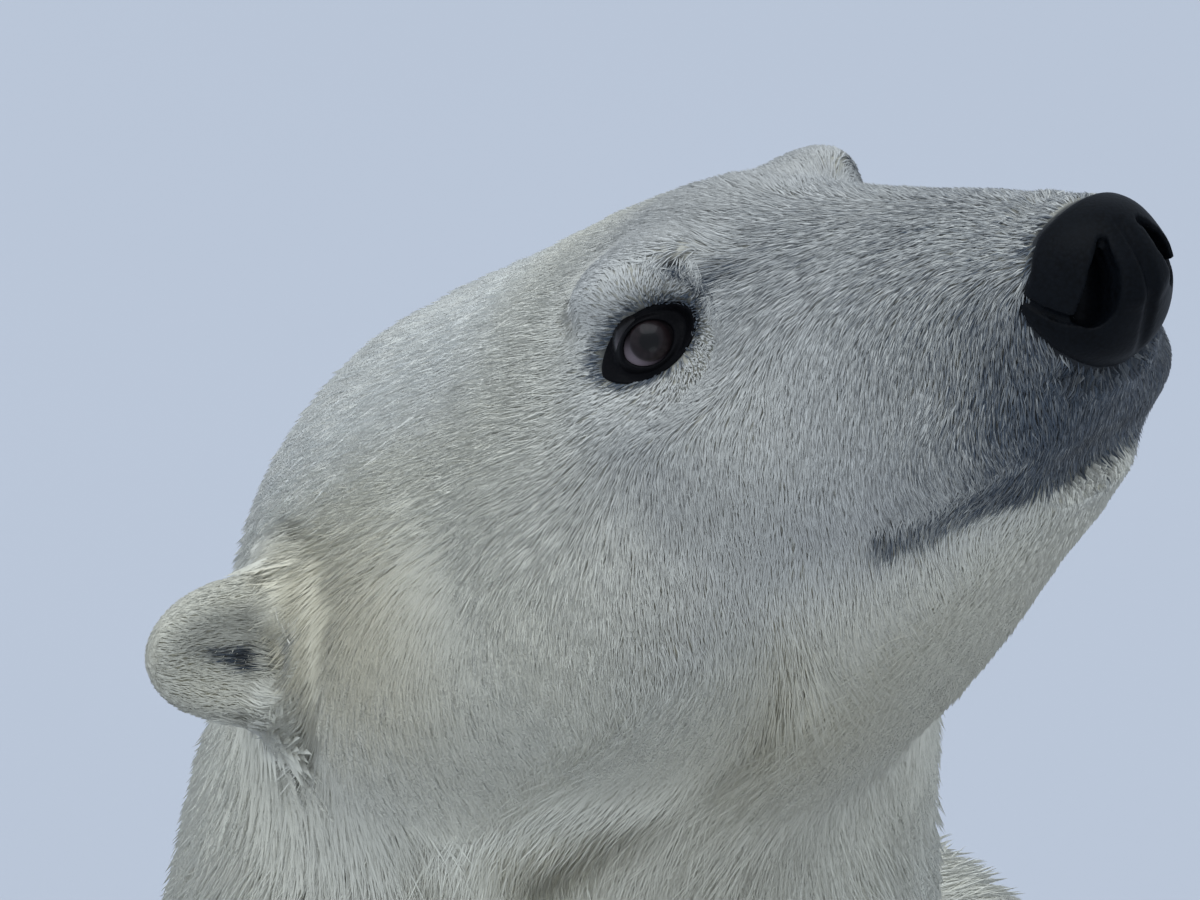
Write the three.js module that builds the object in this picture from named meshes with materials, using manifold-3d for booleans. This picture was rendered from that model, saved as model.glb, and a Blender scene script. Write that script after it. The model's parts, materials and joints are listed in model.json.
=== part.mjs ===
// Sitting polar bear, life size, as solids: millimetres, +Z up, facing -Y, its left side at +X.
// The whole animal is one smooth shape function, out to the tips of its coat. Each body part is
// that shape meshed at a cell size of its own and cut to the part's block with thin plane cuts.
import * as THREE from "three";
import { mergeVertices } from "three/addons/utils/BufferGeometryUtils.js";
import Module from "manifold-3d";

const wasm = await Module();
wasm.setup();

// ---------------------------------------------------------------- driving dimensions

const BODY_CENTRE_AHEAD = 116.8; // shifts the body forward so that its length is centred on the origin
const EYE_AHEAD = 250; // point between the eyes, ahead of the shoulder line
const EYE_HEIGHT = 1420;
const HEAD_PITCH = THREE.MathUtils.degToRad(42.9); // nose raised above level
const GAP = 0.6; // width of the cut between two body parts
const CLEARANCE = 0.4; // how far a neighbour stays outside a part's block
const FLOOR = 0;
const PAST_CUT = 2.5; // cells by which a leg's mesh runs past its block

// In the head's own axes: the eyeball, and the hollow between the lids that bares its front
const EYE = { x: -6.2, y: 39.6, z: 2.2, radius: 12.5, gap: 0.5 };
const EYE_OPENING = { x: 3.9, y: 49.3, z: 2.6, radius: 10 };
// Cell sizes of the meshes: across, ahead and height
const CELL = {
  head: [25, 25, 25],
  ear: [11.5, 11.5, 11.5],
  neck: [44, 44, 60],
  chest: [73, 75, 70],
  trunk: [85, 91, 87],
  tail: [38, 38, 38],
  forepaw: [35, 35, 30],
  forearm: [44, 40, 70],
  upper_foreleg: [60, 64, 90],
  hind_foot: [37, 37, 31],
  shank: [65, 69, 61],
  thigh: [78, 80, 76],
};

const EAR = {
  // in the head's own axes: where it starts, its tip, the way it opens, and the radii of the
  // shell and of the hollow along the ear, across it and through it
  base: [-170, 92, -35],
  tip: [-182, 148, -13],
  faces: [0.8, 0.42, -0.42],
  outer: [34, 26, 14],
  inner: [24, 15, 10],
  box: [[-262, 8, -110], [-100, 210, 90]],
};

// A paw's middle, its size, and the degrees by which it is turned outwards
const FORE_PAW = { across: 180, ahead: 185, width: 205, length: 235, height: 100, turn: 6 };
const HIND_PAW = { across: 348, ahead: -48, width: 185, length: 230, height: 92, turn: 16 };
const TOES = [-2, -1, 0, 1, 2]; // from the inner toe to the outer one

const CLAW = { length: 46, drop: 26, rootRadius: 6.5, tipRadius: 0.9, rings: 3, sides: 5 };
const CLAW_INSET = 14; // how far a claw's root lies inside the toe

// Head stations, in the head's own axes (x to the nose, z to the crown, eyes at x = 0, z = 0):
// [x, top, bottom, half width, narrowing towards the top]
const SKULL = [
  [-218, 12, -100, 70, 0.02],
  [-185, 32, -108, 84, 0.03],
  [-130, 42, -112, 95, 0.06],
  [-80, 44, -112, 87, 0.1],
  [-35, 43, -107, 70, 0.12],
  [5, 38, -102, 56, 0.12],
  [40, 24, -98, 48, 0.14],
  [80, 10, -92, 41, 0.16],
  [112, 0, -84, 34, 0.16],
  [136, -9, -72, 26, 0.1],
];
const JAW = [
  [-150, -70, -165, 82, 0],
  [-100, -70, -160, 76, 0],
  [-40, -70, -148, 63, 0],
  [10, -74, -132, 50, 0],
  [50, -78, -116, 39, 0],
  [80, -81, -106, 29, 0],
  [102, -84, -97, 19, 0],
];
const MOUTH = { level: -82.5, corner: -30 }; // height of the lip line, and how far back the jaw goes
const NOSE = { centre: [160.5, 0, -42], radii: [53, 28, 26.5] }; // ball that marks the bare nose off

// ---------------------------------------------------------------- shape functions

/** Smooth union of two signed distances; k is the width of the blend. */
function blend(a, b, k) {
  const h = Math.max(k - Math.abs(a - b), 0) / k;
  return Math.min(a, b) - h * h * k * 0.25;
}

/** Smooth cut of solid b out of solid a. */
function carve(a, b, k) {
  return -blend(-a, b, k);
}

/** Signed distance to a cone with round ends, from a to b; wide stretches it along x. */
function roundCone(p, a, b, radiusA, radiusB, wide = 1) {
  const q = [(p[0] - a[0]) / wide, p[1] - a[1], p[2] - a[2]];
  const d = [b[0] - a[0], b[1] - a[1], b[2] - a[2]];
  const along = (q[0] * d[0] + q[1] * d[1] + q[2] * d[2]) / (d[0] ** 2 + d[1] ** 2 + d[2] ** 2);
  const t = Math.min(Math.max(along, 0), 1);
  const off = Math.hypot(q[0] - t * d[0], q[1] - t * d[1], q[2] - t * d[2]);
  return off - (radiusA + t * (radiusB - radiusA));
}

/** Signed distance (close to the surface) to an ellipsoid, turned about z by yaw degrees. */
function ellipsoid(p, centre, radii, yaw = 0) {
  const [dx, dy, dz] = [p[0] - centre[0], p[1] - centre[1], p[2] - centre[2]];
  const c = Math.cos(THREE.MathUtils.degToRad(yaw));
  const s = Math.sin(THREE.MathUtils.degToRad(yaw));
  const q = [dx * c + dy * s, dy * c - dx * s, dz];
  const k0 = Math.hypot(q[0] / radii[0], q[1] / radii[1], q[2] / radii[2]);
  const k1 = Math.hypot(q[0] / radii[0] ** 2, q[1] / radii[1] ** 2, q[2] / radii[2] ** 2);
  return (k0 * (k0 - 1)) / Math.max(k1, 1e-9);
}

/** Slope of column `column` of the stations at row i. */
function slope(stations, column, i) {
  const before = stations[Math.max(i - 1, 0)];
  const after = stations[Math.min(i + 1, stations.length - 1)];
  if (i === 0 || i === stations.length - 1) {
    return (after[column] - before[column]) / (after[0] - before[0]);
  }
  const here = stations[i];
  const gapBefore = here[0] - before[0];
  const gapAfter = after[0] - here[0];
  const slopeBefore = (here[column] - before[column]) / gapBefore;
  const slopeAfter = (after[column] - here[column]) / gapAfter;
  return (slopeBefore * gapAfter + slopeAfter * gapBefore) / (gapBefore + gapAfter);
}

/** Smooth value of one station column at x. */
function stationValue(stations, column, x) {
  const last = stations.length - 1;
  const at = Math.min(Math.max(x, stations[0][0]), stations[last][0]);
  let i = 0;
  while (i < last - 1 && at > stations[i + 1][0]) i += 1;
  const span = stations[i + 1][0] - stations[i][0];
  const t = (at - stations[i][0]) / span;
  const [a, b] = [stations[i][column], stations[i + 1][column]];
  const [ma, mb] = [slope(stations, column, i) * span, slope(stations, column, i + 1) * span];
  const t2 = t * t;
  const t3 = t2 * t;
  return (2 * t3 - 3 * t2 + 1) * a + (t3 - 2 * t2 + t) * ma + (3 * t2 - 2 * t3) * b + (t3 - t2) * mb;
}

/** Signed distance to a body lofted through rounded sections across x. */
function loft(p, stations, power) {
  const [top, bottom, half, narrowing] = [1, 2, 3, 4].map((c) => stationValue(stations, c, p[0]));
  const halfHeight = (top - bottom) / 2;
  const v = (p[2] - (top + bottom) / 2) / halfHeight;
  const width = half * (1 - narrowing * Math.min(Math.max(v, -1.2), 1.2));
  const g = (Math.abs(p[1] / width) ** power + Math.abs(v) ** power) ** (1 / power);
  const side = (g - 1) * Math.min(width, halfHeight);
  const beyond = Math.max(p[0] - stations[stations.length - 1][0], stations[0][0] - p[0]);
  return beyond > 0 ? Math.hypot(Math.max(side, 0), beyond) : side;
}

/** The head without its ears, in the head's own axes. */
function headShape(p) {
  const q = [p[0], Math.abs(p[1]), p[2]];
  let d = loft(q, SKULL, 2.25);
  d = blend(d, ellipsoid(q, [138, 0, -38.5], [35, 28.5, 27]), 9); // muzzle end
  d = blend(d, ellipsoid(q, [-85, 52, -66], [80, 54, 60]), 36); // cheek
  d = blend(d, ellipsoid(q, [-150, 54, -56], [58, 52, 62]), 36); // ruff below the ear
  d = blend(d, ellipsoid(q, [-10, 40, -36], [42, 26, 26]), 24); // cheek bone
  d = blend(d, ellipsoid(q, [-2, 38, 22], [24, 12.5, 10], -20), 16); // brow
  d = blend(d, ellipsoid(q, [90, 22, -66], [38, 19, 17]), 13); // upper lip
  d = blend(d, loft(q, JAW, 2.2), 14);
  return carve(d, ellipsoid(q, [10, 58, 0], [19, 14, 12], -28), 12); // hollow of the eye
}

/** Ear axes: along the ear, across it, and out of its opening. */
function earAxes() {
  const base = new THREE.Vector3(...EAR.base);
  const along = new THREE.Vector3(...EAR.tip).sub(base);
  const length = along.length();
  along.normalize();
  const faces = new THREE.Vector3(...EAR.faces);
  faces.addScaledVector(along, -faces.dot(along)).normalize();
  return { base, along, across: along.clone().cross(faces), faces, length };
}
const EAR_AXES = earAxes();

/** Both ears, cupped, in the head's own axes. */
function earShape(p) {
  const { base, along, across, faces, length } = EAR_AXES;
  const q = new THREE.Vector3(p[0], Math.abs(p[1]), p[2]).sub(base);
  const r = [q.dot(along), q.dot(across), q.dot(faces)];
  const shell = ellipsoid(r, [length - EAR.outer[0], 0, 0], EAR.outer);
  const cup = ellipsoid(r, [length - EAR.outer[0] + 6, 0, EAR.inner[2] + 4], EAR.inner);
  return carve(shell, cup, 6);
}

/** A point given as ahead of the shoulder line, height, and distance out from the middle. */
function at(ahead, height, across = 0) {
  return [across, -(ahead + BODY_CENTRE_AHEAD), height];
}

/** Neck, trunk and shoulders; q has x folded to the left side. */
function trunkShape(q) {
  let d = roundCone(q, at(156, 1240), at(160, 1150), 90, 115, 1.03); // upper neck
  d = blend(d, roundCone(q, at(160, 1150), at(138, 960), 115, 156, 1.12), 50); // lower neck
  d = blend(d, roundCone(q, at(128, 890), at(75, 700), 168, 200, 1.15), 80); // chest
  d = blend(d, roundCone(q, at(75, 700), at(-100, 480), 200, 260, 1.14), 80); // ribs and belly
  d = blend(d, roundCone(q, at(-100, 480), at(-290, 268), 260, 280, 1.12), 80); // loin and rump
  return blend(d, roundCone(q, at(146, 920, 150), at(138, 690, 182), 98, 116), 110); // shoulder
}

/** Place of one toe in its paw: ahead and across, in the paw's own axes. */
function toePlace(paw, toe) {
  const outward = toe / 2;
  const ahead = paw.length * (0.42 - 0.1 * outward ** 2) - CLAW_INSET;
  return { ahead, across: outward * paw.width * 0.4 };
}

/** A paw with five toes; ahead and across are turned outwards by the paw's turn. */
function pawShape(q, paw) {
  const turn = THREE.MathUtils.degToRad(paw.turn);
  const [c, s] = [Math.cos(turn), Math.sin(turn)];
  const middle = at(paw.ahead, 0, paw.across);
  const [dx, df] = [q[0] - middle[0], middle[1] - q[1]];
  const r = [df * c + dx * s, dx * c - df * s, q[2]];
  const sole = [-paw.length * 0.1, 0, paw.height * 0.42];
  let d = ellipsoid(r, sole, [paw.length * 0.5, paw.width * 0.48, paw.height * 0.62]);
  for (const toe of TOES) {
    const { ahead, across } = toePlace(paw, toe);
    const size = [34, paw.width * 0.115, paw.height * 0.42];
    d = blend(d, ellipsoid(r, [ahead, across, paw.height * 0.3], size), 12);
  }
  return d;
}

/** Foreleg below the shoulder. */
function foreLegShape(q) {
  let d = roundCone(q, at(138, 690, 182), at(115, 430, 190), 116, 103);
  d = blend(d, roundCone(q, at(115, 430, 190), at(150, 120, 180), 100, 81), 40);
  return blend(d, pawShape(q, FORE_PAW), 40);
}

/** Folded hind leg: thigh forward from the hip, shank back and down, foot flat on the floor. */
function hindLegShape(q) {
  let d = roundCone(q, at(-290, 290, 180), at(-92, 318, 308), 225, 134);
  d = blend(d, roundCone(q, at(-92, 318, 308), at(-180, 100, 312), 130, 84), 50);
  d = blend(d, roundCone(q, at(-215, 62, 310), at(-90, 52, 334), 68, 62), 40);
  return blend(d, pawShape(q, HIND_PAW), 40);
}

/** From world axes to the head's own axes. */
function toHead(p) {
  const [c, s] = [Math.cos(HEAD_PITCH), Math.sin(HEAD_PITCH)];
  const eye = at(EYE_AHEAD, EYE_HEIGHT);
  const [forward, up] = [eye[1] - p[1], p[2] - eye[2]];
  return [forward * c + up * s, p[0], up * c - forward * s];
}

/** From the head's own axes to world axes. */
function fromHead(x, y, z) {
  const [c, s] = [Math.cos(HEAD_PITCH), Math.sin(HEAD_PITCH)];
  return at(EYE_AHEAD + x * c - z * s, EYE_HEIGHT + x * s + z * c, y);
}

/** The whole bear without its ears, eyes and claws. */
function bearShape(p) {
  const q = [Math.abs(p[0]), p[1], p[2]];
  const web = 14 + 46 * THREE.MathUtils.smoothstep(q[2], 90, 300); // legs part from each other low down
  let d = blend(trunkShape(q), headShape(toHead(p)), 66);
  d = blend(d, foreLegShape(q), web);
  d = blend(d, hindLegShape(q), web);
  return blend(d, roundCone(q, at(-548, 222), at(-606, 128), 64, 42), 40); // tail
}

// ---------------------------------------------------------------- meshing

/** Moves a point onto the surface of a shape along its gradient. */
function settle(shape, p) {
  const step = 0.5;
  for (let round = 0; round < 3; round += 1) {
    const slopes = [0, 1, 2].map((axis) => {
      const [ahead, behind] = [p.slice(), p.slice()];
      ahead[axis] += step;
      behind[axis] -= step;
      return (shape(ahead) - shape(behind)) / (2 * step);
    });
    const size = slopes.reduce((sum, value) => sum + value * value, 1e-6);
    const d = shape(p);
    for (let axis = 0; axis < 3; axis += 1) p[axis] -= (slopes[axis] * d) / size;
  }
  return p;
}

/** Closed mesh of a shape inside the box low..high: one vertex in each cell that it crosses. */
function meshShape(shape, low, high, size) {
  const margin = Math.max(...size) / 2;
  const count = [0, 1, 2].map((axis) => Math.ceil((high[axis] - low[axis]) / size[axis]) + 1);
  const index = (i, j, k) => (i * count[1] + j) * count[2] + k;
  const place = (i, j, k) => [low[0] + i * size[0], low[1] + j * size[1], low[2] + k * size[2]];
  const edgeOfBox = (i, j, k) => [i, j, k].some((n, axis) => n === 0 || n === count[axis] - 1);
  const value = new Float64Array(count[0] * count[1] * count[2]);
  for (let i = 0; i < count[0]; i += 1) {
    for (let j = 0; j < count[1]; j += 1) {
      for (let k = 0; k < count[2]; k += 1) {
        const d = shape(place(i, j, k));
        value[index(i, j, k)] = edgeOfBox(i, j, k) ? Math.max(d, margin) : d;
      }
    }
  }
  const vertices = [];
  const vertexOf = new Int32Array(value.length).fill(-1);
  for (let i = 0; i < count[0] - 1; i += 1) {
    for (let j = 0; j < count[1] - 1; j += 1) {
      for (let k = 0; k < count[2] - 1; k += 1) {
        const crossing = cellCrossing(value, index, i, j, k);
        if (!crossing) continue;
        const p = place(i + crossing[0], j + crossing[1], k + crossing[2]);
        const onBox = edgeOfBox(i, j, k) || edgeOfBox(i + 1, j + 1, k + 1);
        vertexOf[index(i, j, k)] = vertices.length / 3;
        vertices.push(...(onBox ? p : settle(shape, p)));
      }
    }
  }
  const faces = [];
  for (let i = 0; i < count[0] - 1; i += 1) {
    for (let j = 0; j < count[1] - 1; j += 1) {
      for (let k = 0; k < count[2] - 1; k += 1) {
        const here = value[index(i, j, k)] < 0;
        const cell = (di, dj, dk) => vertexOf[index(i - di, j - dj, k - dk)];
        if (j && k && here !== value[index(i + 1, j, k)] < 0) {
          pushQuad(faces, [cell(0, 1, 1), cell(0, 0, 1), cell(0, 0, 0), cell(0, 1, 0)], here);
        }
        if (i && k && here !== value[index(i, j + 1, k)] < 0) {
          pushQuad(faces, [cell(1, 0, 1), cell(1, 0, 0), cell(0, 0, 0), cell(0, 0, 1)], here);
        }
        if (i && j && here !== value[index(i, j, k + 1)] < 0) {
          pushQuad(faces, [cell(1, 1, 0), cell(0, 1, 0), cell(0, 0, 0), cell(1, 0, 0)], here);
        }
      }
    }
  }
  const geometry = new THREE.BufferGeometry();
  geometry.setAttribute("position", new THREE.Float32BufferAttribute(vertices, 3));
  geometry.setIndex(faces);
  return geometry;
}

/** Mean of the points where the surface crosses one cell's edges, in cell units, or null. */
function cellCrossing(value, index, i, j, k) {
  const sum = [0, 0, 0];
  let crossings = 0;
  for (let axis = 0; axis < 3; axis += 1) {
    for (const [u, v] of [[0, 0], [0, 1], [1, 0], [1, 1]]) {
      const start = [0, 0, 0];
      start[(axis + 1) % 3] = u;
      start[(axis + 2) % 3] = v;
      const end = start.slice();
      end[axis] = 1;
      const a = value[index(i + start[0], j + start[1], k + start[2])];
      const b = value[index(i + end[0], j + end[1], k + end[2])];
      if (a < 0 === b < 0) continue;
      start[axis] = a / (a - b);
      for (let n = 0; n < 3; n += 1) sum[n] += start[n];
      crossings += 1;
    }
  }
  return crossings ? sum.map((total) => total / crossings) : null;
}

/** Adds a four-sided face as two triangles, turned so that it faces out of the solid. */
function pushQuad(faces, [a, b, c, d], outward) {
  if (outward) faces.push(a, b, c, a, c, d);
  else faces.push(a, c, b, a, d, c);
}

// ---------------------------------------------------------------- cutting

/** A geometry as a solid that can be cut. */
function toSolid(geometry) {
  const bare = geometry.clone();
  bare.deleteAttribute("normal");
  bare.deleteAttribute("uv");
  const merged = mergeVertices(bare, 1e-4);
  const vertProperties = new Float32Array(merged.attributes.position.array);
  const triVerts = new Uint32Array(merged.index.array);
  return new wasm.Manifold(new wasm.Mesh({ numProp: 3, vertProperties, triVerts }));
}

/** A solid back as a geometry, without the needle-thin triangles that cuts can leave. */
function toGeometry(solid) {
  const mesh = solid.getMesh();
  const geometry = new THREE.BufferGeometry();
  geometry.setAttribute("position", new THREE.BufferAttribute(mesh.vertProperties, 3));
  geometry.setIndex(new THREE.BufferAttribute(mesh.triVerts, 1));
  const merged = mergeVertices(geometry, 0.02);
  const corners = merged.index.array;
  const kept = [];
  for (let n = 0; n < corners.length; n += 3) {
    const [a, b, c] = corners.slice(n, n + 3);
    if (a !== b && b !== c && c !== a) kept.push(a, b, c);
  }
  merged.setIndex(kept);
  return merged;
}

/** The largest connected body of a solid, without the crumbs that a cut can leave. */
function largestBody(solid) {
  return solid.decompose().reduce((best, body) => (body.volume() > best.volume() ? body : best));
}

/** A solid with a neighbour cut out of it, and a thin gap left all round the neighbour. */
function clearOf(solid, neighbour) {
  let clear = solid.subtract(neighbour);
  for (const axis of [0, 1, 2]) {
    for (const way of [-GAP, GAP]) {
      const shift = [0, 0, 0];
      shift[axis] = way;
      clear = clear.subtract(neighbour.translate(shift));
    }
  }
  return clear;
}

/** Block between two ranges [low, high] of across, ahead and height. */
function block(across, ahead, height) {
  const middle = (range) => (range[0] + range[1]) / 2;
  const size = [across, ahead, height].map(([low, high]) => high - low);
  const place = at(middle(ahead), middle(height), middle(across));
  return { size, matrix: new THREE.Matrix4().makeTranslation(...place) };
}

/** A block of the left side, or its mirror image on the right when side is -1. */
function onSide({ size, matrix }, side) {
  const place = new THREE.Vector3().setFromMatrixPosition(matrix);
  return { size, matrix: new THREE.Matrix4().makeTranslation(side * place.x, place.y, place.z) };
}

/** Large block whose near face passes through a point of the side view, facing along a normal. */
function halfSpace([ahead, height], [normalAhead, normalUp]) {
  const reach = 1500;
  const normal = new THREE.Vector3(0, -normalAhead, normalUp).normalize();
  const centre = new THREE.Vector3(...at(ahead, height)).addScaledVector(normal, reach / 2);
  const turn = new THREE.Quaternion().setFromUnitVectors(new THREE.Vector3(0, 0, 1), normal);
  const matrix = new THREE.Matrix4().compose(centre, turn, new THREE.Vector3(1, 1, 1));
  return { size: [2 * reach, 2 * reach, reach], matrix };
}

/** A knife block as a solid, grown by so much on every side. */
function knife({ size, matrix }, grow = 0) {
  const geometry = new THREE.BoxGeometry(...size.map((length) => length + 2 * grow));
  return toSolid(geometry.applyMatrix4(matrix));
}

/** Turns and places a geometry made with +Z to the crown and -Y to the nose, as on the head. */
function onHead(geometry, [x, y, z]) {
  return geometry.rotateX(-HEAD_PITCH).translate(...fromHead(x, y, z));
}

/** An ellipsoid as a solid, in the head's own axes. */
function headBall(centre, radii, grow = 0) {
  const geometry = new THREE.SphereGeometry(1, 12, 8).rotateX(Math.PI / 2);
  geometry.scale(radii[1] + grow, radii[0] + grow, radii[2] + grow);
  return toSolid(onHead(geometry, centre));
}

/** A block as a solid between two corners, in the head's own axes. */
function headBlock(low, high, grow = 0) {
  const size = [1, 0, 2].map((axis) => high[axis] - low[axis] + 2 * grow);
  const centre = low.map((value, axis) => (value + high[axis]) / 2);
  return toSolid(onHead(new THREE.BoxGeometry(...size), centre));
}

// ---------------------------------------------------------------- materials

const MATERIALS = {
  coat: new THREE.MeshStandardMaterial({ color: 0xe6e2d2, roughness: 0.95, metalness: 0 }),
  nose: new THREE.MeshStandardMaterial({ color: 0x1b1e22, roughness: 0.55, metalness: 0 }),
  eye: new THREE.MeshStandardMaterial({ color: 0x2a1d17, roughness: 0.12, metalness: 0 }),
  claw: new THREE.MeshStandardMaterial({ color: 0x2b2724, roughness: 0.4, metalness: 0 }),
};

const bear = new THREE.Group();

/** Adds a finished solid to the bear as a named mesh. */
function addPart(name, solid, material) {
  const mesh = new THREE.Mesh(toGeometry(largestBody(solid)), material);
  mesh.name = name;
  bear.add(mesh);
  return mesh;
}

/** Adds a solid of the left side, and its mirror image on the right. */
function addPair(name, solid, material) {
  const left = addPart(`${name}_left`, solid, material);
  const geometry = left.geometry.clone().scale(-1, 1, 1);
  geometry.setIndex(Array.from(left.geometry.index.array).reverse());
  const right = new THREE.Mesh(geometry, material);
  right.name = `${name}_right`;
  bear.add(right);
}

// ---------------------------------------------------------------- body parts

// Each plane is a point (ahead, height) of the side view, and the way that it faces
const HEAD_SIDE = halfSpace([EYE_AHEAD - 158, EYE_HEIGHT - 160], [0.28, 0.96]);
const NECK_SIDE = halfSpace([160, 1062], [0, 1]);
const CHEST_SIDE = halfSpace([20, 590], [0.62, 0.78]);
const BELLY_SIDE = halfSpace([-165, 395], [0.7, 0.71]);
const TAIL_SIDE = block([-130, 130], [-760, -572], [20, 400]);

/** The blocks that part the left legs from the trunk, in the order in which they are cut. */
const LEG_BLOCKS = {
  forepaw: block([40, 296], [38, 380], [-60, 128]),
  forearm: block([60, 306], [18, 380], [128, 405]),
  upper_foreleg: block([172, 420], [-10, 380], [405, 905]),
  hind_foot: block([180, 520], [-205, 120], [-60, 122]),
  shank: block([180, 520], [-340, 120], [-60, 236]),
  thigh: block([190, 520], [-430, 160], [236, 570]),
};

/** The bear meshed inside a block, opened by so many cells on every side. */
function meshBear({ size, matrix }, cell, open = 0) {
  const box = new THREE.Box3().setFromCenterAndSize(
    new THREE.Vector3().setFromMatrixPosition(matrix),
    new THREE.Vector3(...size),
  );
  box.expandByVector(new THREE.Vector3(...cell).multiplyScalar(open));
  return toSolid(meshShape(bearShape, box.min.toArray(), box.max.toArray(), cell));
}

const aboveFloor = knife(halfSpace([0, FLOOR], [0, 1]));

/** The legs of both sides, and their claws. */
function addLegs() {
  const cuts = [];
  for (const [part, legBlock] of Object.entries(LEG_BLOCKS)) {
    const mesh = meshBear(legBlock, CELL[part], PAST_CUT);
    let solid = mesh.intersect(knife(legBlock, -GAP / 2)).intersect(aboveFloor);
    for (const cut of cuts) solid = solid.subtract(cut);
    cuts.push(knife(legBlock, CLEARANCE));
    addPair(part, solid, MATERIALS.coat);
    if (part === "forepaw") addClaws("fore", FORE_PAW, largestBody(solid));
    if (part === "hind_foot") addClaws("hind", HIND_PAW, largestBody(solid));
  }
}

/** Curved tapering claw: rings along an arc that bends down, closed at both ends. */
function clawGeometry() {
  const vertices = [];
  const faces = [];
  const { rings, sides } = CLAW;
  for (let ring = 0; ring < rings; ring += 1) {
    const t = ring / (rings - 1);
    const radius = CLAW.rootRadius + (CLAW.tipRadius - CLAW.rootRadius) * t ** 1.3;
    for (let side = 0; side < sides; side += 1) {
      const angle = (2 * Math.PI * side) / sides;
      const ahead = CLAW.length * t + radius * Math.sin(angle) * 0.5 * t;
      vertices.push(radius * 0.8 * Math.cos(angle), -ahead, radius * Math.sin(angle) - CLAW.drop * t * t);
    }
  }
  for (let ring = 0; ring < rings - 1; ring += 1) {
    for (let side = 0; side < sides; side += 1) {
      const next = (side + 1) % sides;
      const [a, b] = [ring * sides + side, ring * sides + next];
      faces.push(a, b, b + sides, a, b + sides, a + sides);
    }
  }
  const tipStart = (rings - 1) * sides;
  for (let side = 1; side < sides - 1; side += 1) {
    faces.push(0, side + 1, side);
    faces.push(tipStart, tipStart + side, tipStart + side + 1);
  }
  const geometry = new THREE.BufferGeometry();
  geometry.setAttribute("position", new THREE.Float32BufferAttribute(vertices, 3));
  geometry.setIndex(faces);
  return geometry;
}

/** The five claws of a left paw and its mirror image, each cut back to the front of its toe. */
function addClaws(limb, paw, pawSolid) {
  const turn = THREE.MathUtils.degToRad(paw.turn);
  const upright = new THREE.Vector3(0, 0, 1);
  const middle = new THREE.Vector3(...at(paw.ahead, 0, paw.across));
  TOES.forEach((toe, number) => {
    const { ahead, across } = toePlace(paw, toe);
    const root = new THREE.Vector3(across, -(ahead + CLAW_INSET), paw.height * 0.38);
    root.applyAxisAngle(upright, turn).add(middle);
    const claw = toSolid(clawGeometry().rotateZ(turn).translate(...root));
    addPair(`claw_${limb}_${number + 1}`, clearOf(claw, pawSolid), MATERIALS.claw);
  });
}

// ---------------------------------------------------------------- head, neck and trunk

// What each mesh of the trunk and head covers: across, ahead and height
const BOUNDS = {
  head: block([-280, 280], [-148, 532], [1080, 1600]),
  neck: block([-330, 330], [-248, 432], [980, 1420]),
  chest: block([-440, 440], [-468, 472], [320, 1200]),
  trunk: block([-480, 480], [-768, 472], [-130, 960]),
  tail: block([-110, 110], [-708, -458], [30, 400]),
};

/** Head, lower jaw, nose, eyes and ears. */
function addHead() {
  const whole = meshBear(BOUNDS.head, CELL.head).intersect(knife(HEAD_SIDE, -GAP / 2));
  const jawBox = [[MOUTH.corner, -150, -300], [250, 150, MOUTH.level]];
  const jaw = whole.intersect(headBlock(...jawBox, -GAP / 2));
  const noseBall = headBall(NOSE.centre, NOSE.radii, -GAP / 2);
  const nose = whole.intersect(noseBall).subtract(headBlock(...jawBox, GAP));
  let skull = whole.subtract(headBlock(...jawBox, GAP / 2));
  skull = skull.subtract(headBall(NOSE.centre, NOSE.radii, GAP / 2));
  const earMesh = meshShape(earShape, ...EAR.box, CELL.ear);
  const toWorld = new THREE.Matrix4().makeBasis(
    new THREE.Vector3(0, -Math.cos(HEAD_PITCH), Math.sin(HEAD_PITCH)),
    new THREE.Vector3(1, 0, 0),
    new THREE.Vector3(0, Math.sin(HEAD_PITCH), Math.cos(HEAD_PITCH)),
  );
  toWorld.setPosition(...fromHead(0, 0, 0));
  const uncut = toSolid(earMesh.applyMatrix4(toWorld));
  const leftEar = clearOf(clearOf(uncut, whole), whole.mirror([1, 0, 0])); // fits on either side
  const eyeball = Array(3).fill(EYE.radius);
  const opening = Array(3).fill(EYE_OPENING.radius);
  for (const side of [1, -1]) {
    skull = skull.subtract(headBall([EYE.x, side * EYE.y, EYE.z], eyeball, EYE.gap));
    skull = skull.subtract(headBall([EYE_OPENING.x, side * EYE_OPENING.y, EYE_OPENING.z], opening));
  }
  addPair("eye", headBall([EYE.x, EYE.y, EYE.z], eyeball), MATERIALS.eye);
  addPair("ear", leftEar, MATERIALS.coat);
  addPart("head", skull, MATERIALS.coat);
  addPart("lower_jaw", jaw, MATERIALS.coat);
  addPart("nose", nose, MATERIALS.nose);
}

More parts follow.
